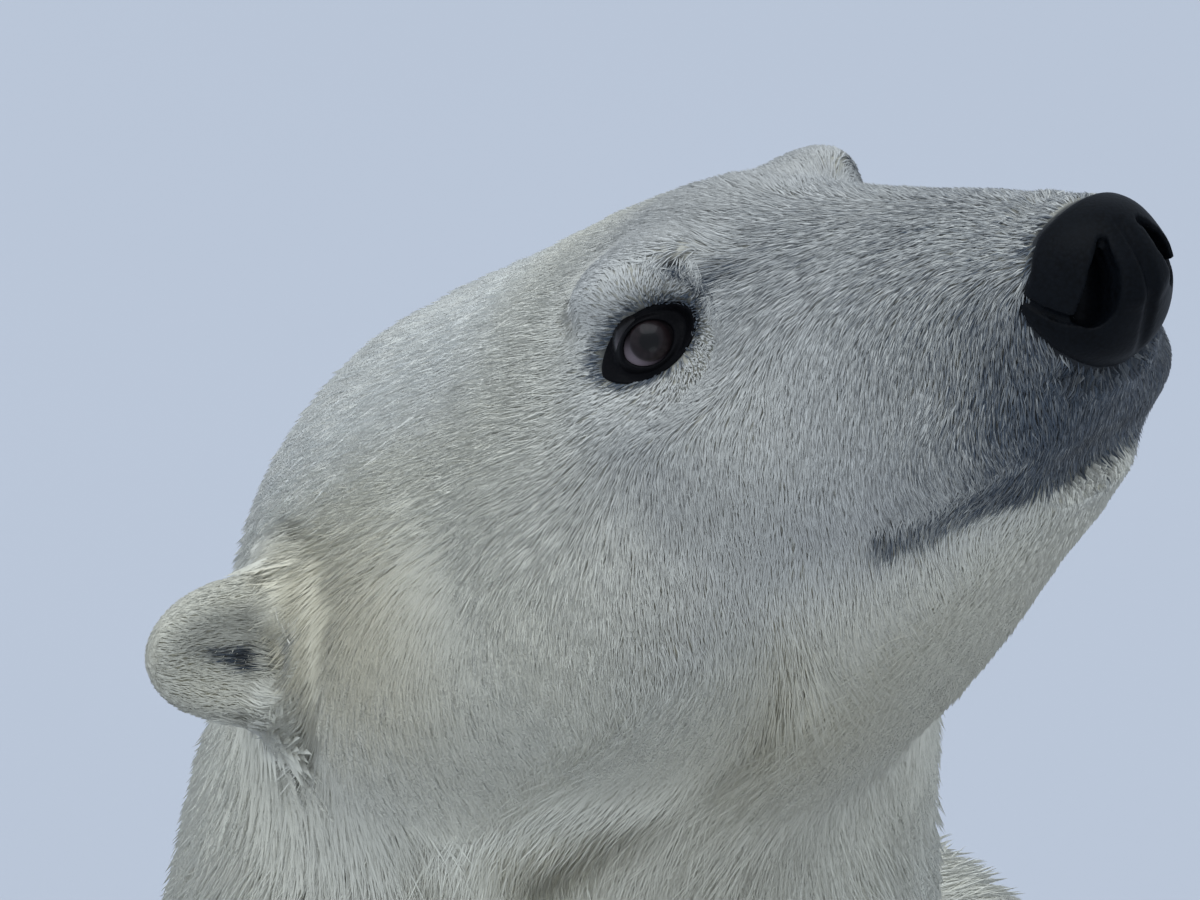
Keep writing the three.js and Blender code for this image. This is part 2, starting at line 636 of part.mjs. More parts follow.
/** Neck, chest, abdomen, rump and tail, with the legs' blocks cut out of them. */
function addTrunk() {
  const neck = meshBear(BOUNDS.neck, CELL.neck).subtract(knife(HEAD_SIDE, GAP / 2));
  addPart("neck", neck.intersect(knife(NECK_SIDE, -GAP / 2)), MATERIALS.coat);
  let chest = meshBear(BOUNDS.chest, CELL.chest).intersect(knife(CHEST_SIDE, -GAP / 2));
  chest = chest.subtract(knife(NECK_SIDE, GAP / 2));
  let trunk = meshBear(BOUNDS.trunk, CELL.trunk).intersect(aboveFloor);
  trunk = trunk.subtract(knife(CHEST_SIDE, GAP / 2)).subtract(knife(TAIL_SIDE, GAP / 2));
  for (const legBlock of Object.values(LEG_BLOCKS)) {
    for (const side of [1, -1]) {
      const cut = knife(onSide(legBlock, side), CLEARANCE);
      chest = chest.subtract(cut);
      trunk = trunk.subtract(cut);
    }
  }
  addPart("chest", chest, MATERIALS.coat);
  addPart("abdomen", trunk.intersect(knife(BELLY_SIDE, -GAP / 2)), MATERIALS.coat);
  addPart("rump", trunk.subtract(knife(BELLY_SIDE, GAP / 2)), MATERIALS.coat);
  const tail = meshBear(BOUNDS.tail, CELL.tail).intersect(knife(TAIL_SIDE, -GAP / 2));
  addPart("tail", tail, MATERIALS.coat);
}

addHead();
addTrunk();
addLegs();

export default bear;
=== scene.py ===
"""Sitting polar bear, life size: its skin, coat, eyes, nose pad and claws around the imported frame."""

import json
import logging
import math
from collections.abc import Callable
from dataclasses import dataclass
from enum import Enum

import bpy
import numpy as np
from mathutils import Matrix, Vector

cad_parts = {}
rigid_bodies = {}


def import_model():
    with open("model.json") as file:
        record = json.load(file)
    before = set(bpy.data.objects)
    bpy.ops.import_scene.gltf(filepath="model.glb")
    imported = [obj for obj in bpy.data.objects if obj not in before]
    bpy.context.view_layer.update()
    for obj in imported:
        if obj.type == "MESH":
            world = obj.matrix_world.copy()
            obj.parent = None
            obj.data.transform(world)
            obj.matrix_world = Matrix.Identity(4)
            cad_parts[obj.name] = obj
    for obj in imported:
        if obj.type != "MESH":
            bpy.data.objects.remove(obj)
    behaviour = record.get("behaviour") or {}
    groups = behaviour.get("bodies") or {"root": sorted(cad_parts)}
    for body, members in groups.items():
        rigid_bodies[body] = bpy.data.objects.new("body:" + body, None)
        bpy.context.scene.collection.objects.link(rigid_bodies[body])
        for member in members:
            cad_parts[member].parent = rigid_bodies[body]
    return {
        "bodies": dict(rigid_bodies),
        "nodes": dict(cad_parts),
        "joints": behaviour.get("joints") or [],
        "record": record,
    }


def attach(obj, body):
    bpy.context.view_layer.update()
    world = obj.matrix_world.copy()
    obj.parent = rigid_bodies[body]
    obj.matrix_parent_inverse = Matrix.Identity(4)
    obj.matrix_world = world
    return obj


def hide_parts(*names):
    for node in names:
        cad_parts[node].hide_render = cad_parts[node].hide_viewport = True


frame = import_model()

LOG = logging.getLogger("polar_bear")
MM = 0.001  # metres in a millimetre
Array = np.ndarray


# ---------------------------------------------------------------- shape


def smoothstep(value: Array, low: float, high: float | Array) -> Array:
    """0 below low, 1 above high, and a smooth rise between them."""
    t = np.clip((value - low) / (high - low), 0.0, 1.0)
    return t * t * (3.0 - 2.0 * t)


def blend(a: Array, b: Array, width: float | Array) -> Array:
    """Smooth union of two signed distances."""
    h = np.maximum(width - np.abs(a - b), 0.0) / width
    return np.minimum(a, b) - h * h * width * 0.25


def carve(a: Array, b: Array, width: float) -> Array:
    """Smooth cut of solid b out of solid a."""
    return -blend(-a, b, width)


def cone(p: Array, a: tuple, b: tuple, radius_a: float, radius_b: float, wide: float = 1.0) -> Array:
    """Signed distance to a cone with round ends.

    Args:
        p: points, one a row.
        a: centre of the first end.
        b: centre of the second end.
        radius_a: radius at a.
        radius_b: radius at b.
        wide: stretch along x.

    Returns:
        One distance for each point.
    """
    q = p - np.array(a, float)
    q[:, 0] /= wide
    d = np.array(b, float) - np.array(a, float)
    t = np.clip(q @ d / (d @ d), 0.0, 1.0)
    off = np.linalg.norm(q - t[:, None] * d, axis=1)
    return off - (radius_a + t * (radius_b - radius_a))


def ellipsoid(p: Array, centre: tuple, radii: tuple, yaw: float = 0.0) -> Array:
    """Signed distance, close to the surface, to an ellipsoid turned about z by yaw degrees.

    Args:
        p: points.
        centre: its middle.
        radii: its three radii.
        yaw: turn in degrees.

    Returns:
        Signed distances.
    """
    q = p - np.array(centre, float)
    if yaw:
        c, s = math.cos(math.radians(yaw)), math.sin(math.radians(yaw))
        q = np.stack([q[:, 0] * c + q[:, 1] * s, q[:, 1] * c - q[:, 0] * s, q[:, 2]], 1)
    r = np.array(radii, float)
    k0 = np.linalg.norm(q / r, axis=1)
    k1 = np.linalg.norm(q / (r * r), axis=1)
    return k0 * (k0 - 1.0) / np.maximum(k1, 1e-9)


@dataclass(frozen=True)
class Stations:
    """A body lofted through rounded sections across x.

    Each row is x, top, bottom, half width, and narrowing towards the top.
    """

    rows: tuple
    power: float

    def table(self, x: Array) -> list[Array]:
        """Smooth top, bottom, half width and narrowing at each x.

        Args:
            x: places along the loft.

        Returns:
            Top, bottom, half width and narrowing, each with a row for each place.
        """
        rows = np.array(self.rows, float)
        xs = rows[:, 0]
        x = np.clip(x, xs[0], xs[-1])
        i = np.clip(np.searchsorted(xs, x, side="right") - 1, 0, len(xs) - 2)
        span = xs[i + 1] - xs[i]
        t = (x - xs[i]) / span
        t2, t3 = t * t, t * t * t
        ease = (2 * t3 - 3 * t2 + 1, (t3 - 2 * t2 + t) * span, 3 * t2 - 2 * t3, (t3 - t2) * span)
        columns = []
        for values in rows[:, 1:].T:
            slopes = np.gradient(values, xs)
            start = ease[0] * values[i] + ease[1] * slopes[i]
            end = ease[2] * values[i + 1] + ease[3] * slopes[i + 1]
            columns.append(start + end)
        return columns

    def distance(self, p: Array) -> Array:
        """Signed distance from each point to the lofted body.

        Args:
            p: points, with x along the loft.

        Returns:
            Signed distances.
        """
        top, bottom, half, narrowing = self.table(p[:, 0])
        half_height = (top - bottom) / 2
        v = (p[:, 2] - (top + bottom) / 2) / half_height
        width = half * (1 - narrowing * np.clip(v, -1.2, 1.2))
        g = (np.abs(p[:, 1] / width) ** self.power + np.abs(v) ** self.power) ** (1 / self.power)
        side = (g - 1) * np.minimum(width, half_height)
        beyond = np.maximum(p[:, 0] - self.rows[-1][0], self.rows[0][0] - p[:, 0])
        return np.where(beyond > 0, np.hypot(np.maximum(side, 0), beyond), side)


@dataclass(frozen=True)
class Paw:
    """A paw: its middle, its size, and the degrees by which it turns outwards, in mm."""

    across: float
    ahead: float
    width: float
    length: float
    height: float
    turn: float
    inset: float = 14.0
    toes: tuple = (-1.0, -0.5, 0.0, 0.5, 1.0)  # from the inner toe to the outer one

    def toe(self, outward: float) -> tuple[float, float]:
        """Place of a toe ahead and across in the paw's own axes; outward runs from -1 to 1."""
        ahead = self.length * (0.42 - 0.1 * outward**2) - self.inset
        return ahead, outward * self.width * 0.4


@dataclass(frozen=True)
class Bear:
    """The bear's outline out to its coat tips, as signed distances in mm.

    World axes: x to its left, -y ahead, z up. Head axes: x to the nose, y left, z to the crown,
    with the origin between the eyes.
    """

    centre_ahead: float = 116.8
    eye_ahead: float = 250.0
    eye_height: float = 1420.0
    head_pitch: float = 42.9
    skull: Stations = Stations(
        (
            (-218, 12, -100, 70, 0.02),
            (-185, 32, -108, 84, 0.03),
            (-130, 42, -112, 95, 0.06),
            (-80, 44, -112, 87, 0.1),
            (-35, 43, -107, 70, 0.12),
            (5, 38, -102, 56, 0.12),
            (40, 24, -98, 48, 0.14),
            (80, 10, -92, 41, 0.16),
            (112, 0, -84, 34, 0.16),
            (136, -9, -72, 26, 0.1),
        ),
        2.25,
    )
    jaw: Stations = Stations(
        (
            (-150, -70, -165, 82, 0),
            (-100, -70, -160, 76, 0),
            (-40, -70, -148, 63, 0),
            (10, -74, -132, 50, 0),
            (50, -78, -116, 39, 0),
            (80, -81, -106, 29, 0),
            (102, -84, -97, 19, 0),
        ),
        2.2,
    )
    ear_base: tuple = (-170, 92, -35)
    ear_tip: tuple = (-182, 148, -13)
    ear_faces: tuple = (0.8, 0.42, -0.42)
    ear_outer: tuple = (34, 26, 14)
    ear_inner: tuple = (24, 15, 10)
    fore_paw: Paw = Paw(180, 185, 205, 235, 100, 6)
    hind_paw: Paw = Paw(348, -48, 185, 230, 92, 16)

    def at(self, ahead: float, height: float, across: float = 0.0) -> tuple:
        """World point given as ahead of the shoulder line, height, and distance from the middle."""
        return (across, -(ahead + self.centre_ahead), height)

    def head_axes(self) -> Array:
        """Rows are the head's own x, y and z axes in the world."""
        c, s = math.cos(math.radians(self.head_pitch)), math.sin(math.radians(self.head_pitch))
        return np.array([[0.0, -c, s], [1.0, 0.0, 0.0], [0.0, s, c]])

    def to_head(self, p: Array) -> Array:
        """World points in the head's own axes."""
        return (p - np.array(self.at(self.eye_ahead, self.eye_height))) @ self.head_axes().T

    def from_head(self, h: Array) -> Array:
        """Points in the head's own axes as world points."""
        return np.asarray(h, float) @ self.head_axes() + np.array(self.at(self.eye_ahead, self.eye_height))

    def head(self, h: Array) -> Array:
        """The head without its ears.

        Args:
            h: points in the head's axes, with y folded to the left side.

        Returns:
            Signed distances.
        """
        d = self.skull.distance(h)
        d = blend(d, ellipsoid(h, (138, 0, -38.5), (35, 28.5, 27)), 9)  # muzzle end
        d = blend(d, ellipsoid(h, (-85, 52, -66), (80, 54, 60)), 36)  # cheek
        d = blend(d, ellipsoid(h, (-150, 54, -56), (58, 52, 62)), 36)  # ruff below the ear
        d = blend(d, ellipsoid(h, (-10, 40, -36), (42, 26, 26)), 24)  # cheek bone
        d = blend(d, ellipsoid(h, (-2, 38, 22), (24, 12.5, 10), -20), 16)  # brow
        d = blend(d, ellipsoid(h, (90, 22, -66), (38, 19, 17)), 13)  # upper lip
        d = blend(d, self.jaw.distance(h), 14)
        return carve(d, ellipsoid(h, (10, 58, 0), (19, 14, 12), -28), 12)  # hollow of the eye

    def ear_frame(self) -> tuple[Array, Array, float]:
        """Where the left ear stands on the head.

        Returns:
            Its base, rows of its axes (along, across, out of the opening), and its length.
        """
        base = np.array(self.ear_base, float)
        along = np.array(self.ear_tip, float) - base
        length = float(np.linalg.norm(along))
        along /= length
        faces = np.array(self.ear_faces, float)
        faces -= along * (faces @ along)
        faces /= np.linalg.norm(faces)
        return base, np.array([along, np.cross(along, faces), faces]), length

    def ear(self, h: Array, depth: float = 0.0) -> Array:
        """A cupped ear.

        Args:
            h: points in the head's axes, with y folded to the left side.
            depth: how far to draw it in.

        Returns:
            Signed distances.
        """
        base, axes, length = self.ear_frame()
        r = (h - base) @ axes.T
        shell = ellipsoid(r, (length - self.ear_outer[0], 0, 0), self.ear_outer) + depth
        cup = ellipsoid(r, (length - self.ear_outer[0] + 6, 0, self.ear_inner[2] + 4), self.ear_inner) - depth
        return carve(shell, cup, 6)

    def trunk(self, q: Array) -> Array:
        """Neck, trunk and shoulders.

        Args:
            q: points in world mm, with x folded to the left side.

        Returns:
            Signed distances.
        """
        at = self.at
        d = cone(q, at(156, 1240), at(160, 1150), 90, 115, 1.03)  # upper neck
        d = blend(d, cone(q, at(160, 1150), at(138, 960), 115, 156, 1.12), 50)  # lower neck
        d = blend(d, cone(q, at(128, 890), at(75, 700), 168, 200, 1.15), 80)  # chest
        d = blend(d, cone(q, at(75, 700), at(-100, 480), 200, 260, 1.14), 80)  # ribs and belly
        d = blend(d, cone(q, at(-100, 480), at(-290, 268), 260, 280, 1.12), 80)  # loin and rump
        return blend(d, cone(q, at(146, 920, 150), at(138, 690, 182), 98, 116), 110)  # shoulder

    def paw(self, q: Array, paw: Paw) -> Array:
        """A paw with five toes.

        Args:
            q: points in world mm, with x folded to the left side.
            paw: the sizes of the paw.

        Returns:
            Signed distances.
        """
        c, s = math.cos(math.radians(paw.turn)), math.sin(math.radians(paw.turn))
        middle = self.at(paw.ahead, 0, paw.across)
        dx, df = q[:, 0] - middle[0], middle[1] - q[:, 1]
        r = np.stack([df * c + dx * s, dx * c - df * s, q[:, 2]], 1)
        sole = (-paw.length * 0.1, 0, paw.height * 0.42)
        d = ellipsoid(r, sole, (paw.length * 0.5, paw.width * 0.48, paw.height * 0.62))
        for toe in paw.toes:
            ahead, across = paw.toe(toe)
            size = (34, paw.width * 0.115, paw.height * 0.42)
            d = blend(d, ellipsoid(r, (ahead, across, paw.height * 0.3), size), 12)
        return d

    def legs(self, q: Array) -> tuple[Array, Array]:
        """Foreleg and folded hind leg.

        Args:
            q: points in world mm, with x folded to the left side.

        Returns:
            Signed distances to the foreleg and to the hind leg.
        """
        at = self.at
        fore = cone(q, at(138, 690, 182), at(115, 430, 190), 116, 103)
        fore = blend(fore, cone(q, at(115, 430, 190), at(150, 120, 180), 100, 81), 40)
        fore = blend(fore, self.paw(q, self.fore_paw), 40)
        hind = cone(q, at(-290, 290, 180), at(-92, 318, 308), 225, 134)
        hind = blend(hind, cone(q, at(-92, 318, 308), at(-180, 100, 312), 130, 84), 50)
        hind = blend(hind, cone(q, at(-215, 62, 310), at(-90, 52, 334), 68, 62), 40)
        return fore, blend(hind, self.paw(q, self.hind_paw), 40)

    def outline(self, p: Array) -> Array:
        """Signed distance to the coat's tips, without the ears.

        Args:
            p: points in world mm.

        Returns:
            Signed distances.
        """
        q = p * np.array([1.0, 1.0, 1.0])
        q[:, 0] = np.abs(q[:, 0])
        d = self.trunk(q)
        high = p[:, 2] > 1040
        if high.any():
            h = self.to_head(q[high])
            h[:, 1] = np.abs(h[:, 1])
            d[high] = blend(d[high], self.head(h), 66)
        low = p[:, 2] < 980
        if low.any():
            web = 14 + 46 * smoothstep(q[low, 2], 90, 300)
            fore, hind = self.legs(q[low])
            d[low] = blend(blend(d[low], fore, web), hind, web)
        return blend(d, cone(q, self.at(-548, 222), self.at(-606, 128), 64, 42), 40)


# ---------------------------------------------------------------- hide: skin depth, lie, markings and painted shade


def unit(v: Array) -> Array:
    """Rows scaled to length one."""
    return v / np.maximum(np.linalg.norm(v, axis=-1, keepdims=True), 1e-9)


def linear(code: str) -> Array:
    """Linear red, green and blue of an sRGB hex colour such as "#a0b1c2"."""
    c = np.array([int(code[i : i + 2], 16) for i in (1, 3, 5)]) / 255.0
    return np.where(c <= 0.04045, c / 12.92, ((c + 0.055) / 1.055) ** 2.4)


def waves(p: Array, length: float, seed: int) -> Array:
    """Smooth noise from -1 to 1 that repeats about every length.

    Args:
        p: points.
        length: length of the waves in mm.
        seed: picks the pattern.

    Returns:
        One value for each point.
    """
    rng = np.random.default_rng(seed)
    total = np.zeros(len(p))
    for _ in range(5):
        way = unit(rng.normal(size=(1, 3)))[0] * (2 * math.pi / length) * rng.uniform(0.6, 1.5)
        total += np.sin(p @ way + rng.uniform(0, 2 * math.pi))
    return total / 3.2


def tube(p: Array, line: tuple | Array, radii: tuple) -> Array:
    """Signed distance to a round tube.

    Args:
        p: points.
        line: points along its middle.
        radii: a radius at each of those.

    Returns:
        Signed distances.
    """
    d = np.full(len(p), 1e6)
    for a, b, radius_a, radius_b in zip(line[:-1], line[1:], radii[:-1], radii[1:]):
        d = np.minimum(d, cone(p, a, b, radius_a, radius_b))
    return d


def fold(h: Array) -> Array:
    """Points in the head's axes, with the right side folded onto the left."""
    return np.stack([h[:, 0], np.abs(h[:, 1]), h[:, 2]], 1)


def near(h: Array, centre: tuple, radii: tuple, soft: float = 0.5) -> Array:
    """1 inside an ellipsoid on the left of the head, and on the right, and 0 outside, with a soft edge."""
    r = np.linalg.norm((fold(h) - np.array(centre, float)) / np.array(radii, float), axis=1)
    return 1.0 - smoothstep(r, 1.0 - soft, 1.0 + soft)


@dataclass(frozen=True)
class Mark:
    """A soft spot on each side of the head: its strength, middle, radii and softness, in mm."""

    share: float
    centre: tuple
    radii: tuple
    soft: float

    def at(self, h: Array) -> Array:
        """Strength of the mark at each point in the head's axes."""
        return self.share * near(h, self.centre, self.radii, self.soft)


class Tint(Enum):
    """Hair and skin colours, in sRGB, with one paler cream that paints light from above on the crown."""

    FROST = "#c6c5be"  # short hair of the face
    CREAM = "#f4f0dc"  # neck and body
    # painted light: the crown, lit from above, painted paler and cooler than the cream
    TOP_LIT_CREAM = "#f8f6ea"  # crown
    STRAW = "#e6dcbd"  # stained hair
    DARK_HAIR = "#363f49"
    UNDER = "#efece2"
    BLACK_SKIN = "#1b1e22"


@dataclass(frozen=True)
class Hide:
    """The skin under the coat: its depth, the lie of its hair, its markings and its painted shade and light,
    all in mm.
    """

    bear: Bear = Bear()
    eye: tuple = (-6.2, 39.6, 2.2)  # middle of the left eyeball, head axes
    eye_front: tuple = (2.4, 47.9, 2.5)  # middle of the opening between the lids
    eye_out: tuple = (0.721, 0.692, 0.025)  # way the opening faces
    eye_forward: tuple = (0.683, -0.717, 0.139)  # from the outer corner of the lids to the inner one
    lid_reach: tuple = (18.2, 9.6)  # half length and half height of the bare lids
    eye_hollow: tuple = ((0, 0, 13.5), (15.5, 7.6, 8.0))  # room under the lids, in the eye's own axes
    eye_ring: tuple = (15, 32)  # reach over which the hair that circles the eye gives way
    # Height, and where the wings of the nose pad end
    pad_back: tuple = ((-50, 144.5), (-36, 145.5), (-28, 150), (-20, 151.5), (-16, 156))
    pad_band: tuple = ((147, 27, -37), (149, 25, -46), (149, 18, -55), (146, 9, -61), (144, 0, -63))
    pad_band_radius: float = 5.5
    mouth: tuple = (
        (52, 45, -80),
        (70, 44, -82),
        (88, 41.5, -83.5),
        (111, 36, -84.5),
        (128, 28, -84.5),
        (138, 16, -84),
        (141, 0, -82.5),
    )
    mouth_groove: tuple = (1.2, 2.0, 2.2, 2.4, 2.6, 2.6, 2.6)
    # Depth of the coat at places along the head and heights up the body
    head_depth: tuple = ((-220, 12), (-150, 9.5), (-80, 7), (0, 4), (60, 3), (110, 2.2))
    body_depth: tuple = ((0, 3), (40, 6), (130, 10), (400, 18), (900, 22), (1150, 16), (1230, 12))
    ear_depth: float = 3.0
    eye_depth: float = 1.8
    ruff_depth: float = 5.0  # added under the jaw and cheek
    # painted shade: a dark line where the ear's opening lies, in colour only
    ear_hole_painted_shade: tuple = ((-173, 132, -20), (-173.5, 123, -26), (-172.5, 116, -31))
    ear_hole_painted_shade_radii: tuple = (1.2, 3.2, 4.0)
    pad_room: tuple = ((166.0, 0.0, -42.0), (28.0, 18.0, 18.0))  # space for the nostrils
    pad_overlap: float = 1.6  # how far the skin runs in under the rim of the nose pad
    head_share: tuple = (1170, 1275)  # heights over which the body's coat becomes the head's
    ear_stain: Mark = Mark(0.75, (-120, 106, -21), (34, 22, 26), 0.8)  # straw patch before the ear
    jaw_stain: Mark = Mark(0.35, (-60, 60, -148), (60, 60, 40), 0.8)
    # painted shade over the cheek and temple
    cheek_painted_shade: Mark = Mark(0.11, (-70, 95, -45), (75, 60, 55), 0.6)
    dark_marks: tuple = (
        Mark(0.95, (52, 44, -80), (13, 12, 5.5), 0.4),  # corner of the mouth
        Mark(0.26, (58, 20, 8), (34, 26, 14), 0.8),  # bridge
        Mark(1.0, (25.5, 35, 11.5), (7, 7, 4.5), 0.5),  # tick before the eye
        Mark(0.75, (36, 28.5, 11), (12, 6, 4.0), 0.7),  # line on from it
        Mark(1.0, (19.5, 40, 19.5), (5.5, 6, 3.6), 0.5),  # tick above the eye
        Mark(0.4, (87, 43, -61), (8, 7, 5), 0.8),  # spot on the lip
        Mark(0.10, (5, 67, -26), (20, 12, 12), 0.9),  # below the eye
    )

    def depth(self, p: Array) -> Array:
        """Depth of the coat, from its tips down to the skin.

        Args:
            p: points in world mm.

        Returns:
            Depths in mm.
        """
        h = self.bear.to_head(p)
        head = np.interp(h[:, 0], *np.array(self.head_depth, float).T)
        head += self.ruff_depth * smoothstep(-h[:, 2], 72, 125) * smoothstep(-h[:, 0], -95, 20)
        bare = near(h, self.eye_front, (30, 30, 30))
        head = head * (1 - bare) + self.eye_depth * bare
        ear = 1 - smoothstep(self.bear.ear(fold(h)), 2, 16)
        head = head * (1 - ear) + self.ear_depth * ear
        body = np.interp(p[:, 2], *np.array(self.body_depth, float).T)
        share = smoothstep(p[:, 2], *self.head_share)
        return body * (1 - share) + head * share

    def eye_frame(self) -> Array:
        """Rows: forward, up and out of the left eye, in the head's axes.

        Returns:
            Three rows, each a unit length.
        """
        out = unit(np.array([self.eye_out]))[0]
        forward = np.array(self.eye_forward) - out * float(np.dot(self.eye_forward, out))
        forward /= np.linalg.norm(forward)
        return np.array([forward, np.cross(forward, out), out])

    def at_eye(self, h: Array) -> Array:
        """Points in the left eye's own axes; h has y folded to the left side."""
        return (h - np.array(self.eye)) @ self.eye_frame().T

    def lid_share(self, h: Array) -> Array:
        """How far out each point lies across the lids: 1 at the coat, and large away from the eye.

        Args:
            h: points in the head's axes, with y folded to the left side.

        Returns:
            One share for each point.
        """
        r = self.at_eye(h)
        size = np.hypot(r[:, 0] / self.lid_reach[0], r[:, 1] / self.lid_reach[1])
        return np.where(np.abs(r[:, 2] - 12) < 16, size, 9.0)

    def off_pad(self, h: Array) -> Array:
        """Distance outside the border of the nose pad, along the skin.

        Args:
            h: points in the head's axes, with y folded to the left side.

        Returns:
            Distances in mm, below 0 on the pad.
        """
        wings = np.interp(h[:, 2], *np.array(self.pad_back, float).T) - h[:, 0]
        band = tube(h, self.pad_band, (self.pad_band_radius,) * len(self.pad_band))
        return blend(wings, band, 4)

    def folded(self, p: Array) -> Array:
        """World points in the head's axes, with the right side folded onto the left."""
        return fold(self.bear.to_head(p))

    def height(self, p: Array) -> Array:
        """Signed distance from each point to the skin.

        Args:
            p: points in world mm.

        Returns:
            Signed distances.
        """
        d = self.bear.outline(p) + self.depth(p)
        high = p[:, 2] > 1150
        if high.any():
            h = self.folded(p[high])
            head = blend(d[high], self.bear.ear(h, self.ear_depth), 9)
            head = carve(head, tube(h, self.mouth, self.mouth_groove), 3.5)
            head = carve(head, ellipsoid(self.at_eye(h), *self.eye_hollow), 4)
            head = carve(head, ellipsoid(h, *self.pad_room), 3)
            d[high] = carve(head, self.off_pad(h) + self.pad_overlap, 3)
        low = p[:, 2] < 60
        if low.any():
            d[low] = carve(d[low], p[low, 2] - 0.4, 5)
        return d

    def normals(self, p: Array) -> Array:
        """Outward direction of the skin at each point.

        Args:
            p: points in world mm.

        Returns:
            Unit directions in world axes.
        """
        step = 0.6
        grad = [self.height(p + e) - self.height(p - e) for e in np.eye(3) * step]
        return unit(np.stack(grad, 1))

    def lie(self, p: Array, n: Array) -> Array:
        """Direction in which the hair lies at each point of the skin.

        Args:
            p: points in world mm.
            n: the outward direction at each.

        Returns:
            Directions in world axes.
        """
        axes = self.bear.head_axes()
        h = self.bear.to_head(p)
        side = np.where(h[:, 1] < 0, -1.0, 1.0)
        m = n @ axes.T
        top = smoothstep(m[:, 2], 0.1, 0.75)[:, None]
        over = np.stack([-np.ones(len(p)), 0.2 * side, -0.05 * np.ones(len(p))], 1)
        down = np.stack([-0.38 * np.ones(len(p)), 0.06 * side, -0.92 * np.ones(len(p))], 1)
        under = smoothstep(-m[:, 2], 0.3, 0.85)[:, None]
        back = np.stack([-np.ones(len(p)), 0.1 * side, -0.1 * np.ones(len(p))], 1)
        head = top * over + (1 - top) * ((1 - under) * down + under * back)
        eye = np.array(self.eye_front) * np.stack([np.ones(len(p)), side, np.ones(len(p))], 1)
        away = h - eye
        reach = np.linalg.norm(away * np.array([0.85, 1, 1]), axis=1)
        ring = 0.85 * (1 - smoothstep(reach, *self.eye_ring))[:, None]
        head = head * (1 - ring) + unit(away) * ring
        base, ear_axes, _ = self.bear.ear_frame()
        from_base = fold(h) - base
        on_ear = 1 - smoothstep(np.linalg.norm(from_base, axis=1), 75, 95)
        on_ear = (smoothstep(from_base @ ear_axes[0], -4, 18) * on_ear)[:, None]
        along = ear_axes[0] * np.stack([np.ones(len(p)), side, np.ones(len(p))], 1)
        head = head * (1 - on_ear) + (along + 0.25 * ear_axes[2]) * on_ear
        body = self.body_lie(p, n)
        share = smoothstep(p[:, 2] + 0.25 * p[:, 1], 1090, 1200)[:, None]
        return unit(head) @ axes * share + body * (1 - share)

    def body_lie(self, p: Array, n: Array) -> Array:
        """The lie of the coat below the head, in world axes.

        Args:
            p: points in world mm.
            n: the outward direction at each.

        Returns:
            Unit directions in world axes.
        """
        z = p[:, 2]
        back = smoothstep(n[:, 1], 0.1, 0.8)
        lie = np.stack([np.zeros(len(p)), 0.25 + 0.35 * back, -0.93 + 0 * z], 1)
        hind = smoothstep(p[:, 1], -120, 60) * (1 - smoothstep(z, 420, 620)) * (1 - back)
        lie[:, 1] = lie[:, 1] * (1 - hind) - 0.35 * hind
        paw = 1 - smoothstep(z, 70, 150)
        front = np.where(p[:, 1] < 430, paw, 0.0)
        lie[:, 1] = lie[:, 1] * (1 - front) - 1.0 * front
        lie[:, 2] = lie[:, 2] * (1 - 0.6 * front)
        return unit(lie)

    def pale_colour(self, p: Array) -> Array:
        """Linear colour of the pale hair at each point, with painted shade on the cheek, the ear and under
        the jaw, and painted light on the crown.

        Args:
            p: points in world mm.

        Returns:
            One colour for each point.
        """
        h = self.bear.to_head(p)
        tints = (Tint.FROST, Tint.CREAM, Tint.TOP_LIT_CREAM, Tint.STRAW)
        frost, cream, top_lit_cream, straw = (linear(tint.value) for tint in tints)
        x, z = h[:, 0], h[:, 2]
        warm = smoothstep(-x, -10, 60)  # greyer on the face, creamier behind
        warm = np.maximum(warm, smoothstep(-z, 62, 112))
        warm = np.clip(warm + 0.22 * waves(p, 130, 3), 0, 1)[:, None]
        # painted light from above: paler on the crown
        crown = (smoothstep(z, -5, 20) * smoothstep(-x, 30, 80))[:, None]
        colour = frost * (1 - warm) + (cream * (1 - crown) + top_lit_cream * crown) * warm
        patch = self.ear_stain.at(h) + self.jaw_stain.at(h)
        patch += 0.35 * smoothstep(-z, 78, 115) * smoothstep(x, -70, 0)
        patch += 0.3 * smoothstep(1150 - p[:, 2], 0, 250) * (0.6 + 0.4 * waves(p, 260, 8))
        patch += 0.45 * (1 - smoothstep(p[:, 2], 40, 170))
        patch = np.clip(patch, 0, 1)[:, None]
        colour = colour * (1 - patch) + straw * patch
        # darker: the straw stain before the ear in its own darker colour, and painted shade over the cheek
        # and temple
        shade = np.maximum(0.13 / self.ear_stain.share * self.ear_stain.at(h), self.cheek_painted_shade.at(h))
        # painted shade over the ear
        shade = np.maximum(shade, 0.3 * near(h, self.bear.ear_tip, (52, 52, 52), 0.4))
        # painted shade under the jaw
        shade = np.maximum(shade, 0.09 * smoothstep(-z, 62, 112) * smoothstep(x, -120, -50))
        return colour * (1 - shade)[:, None]

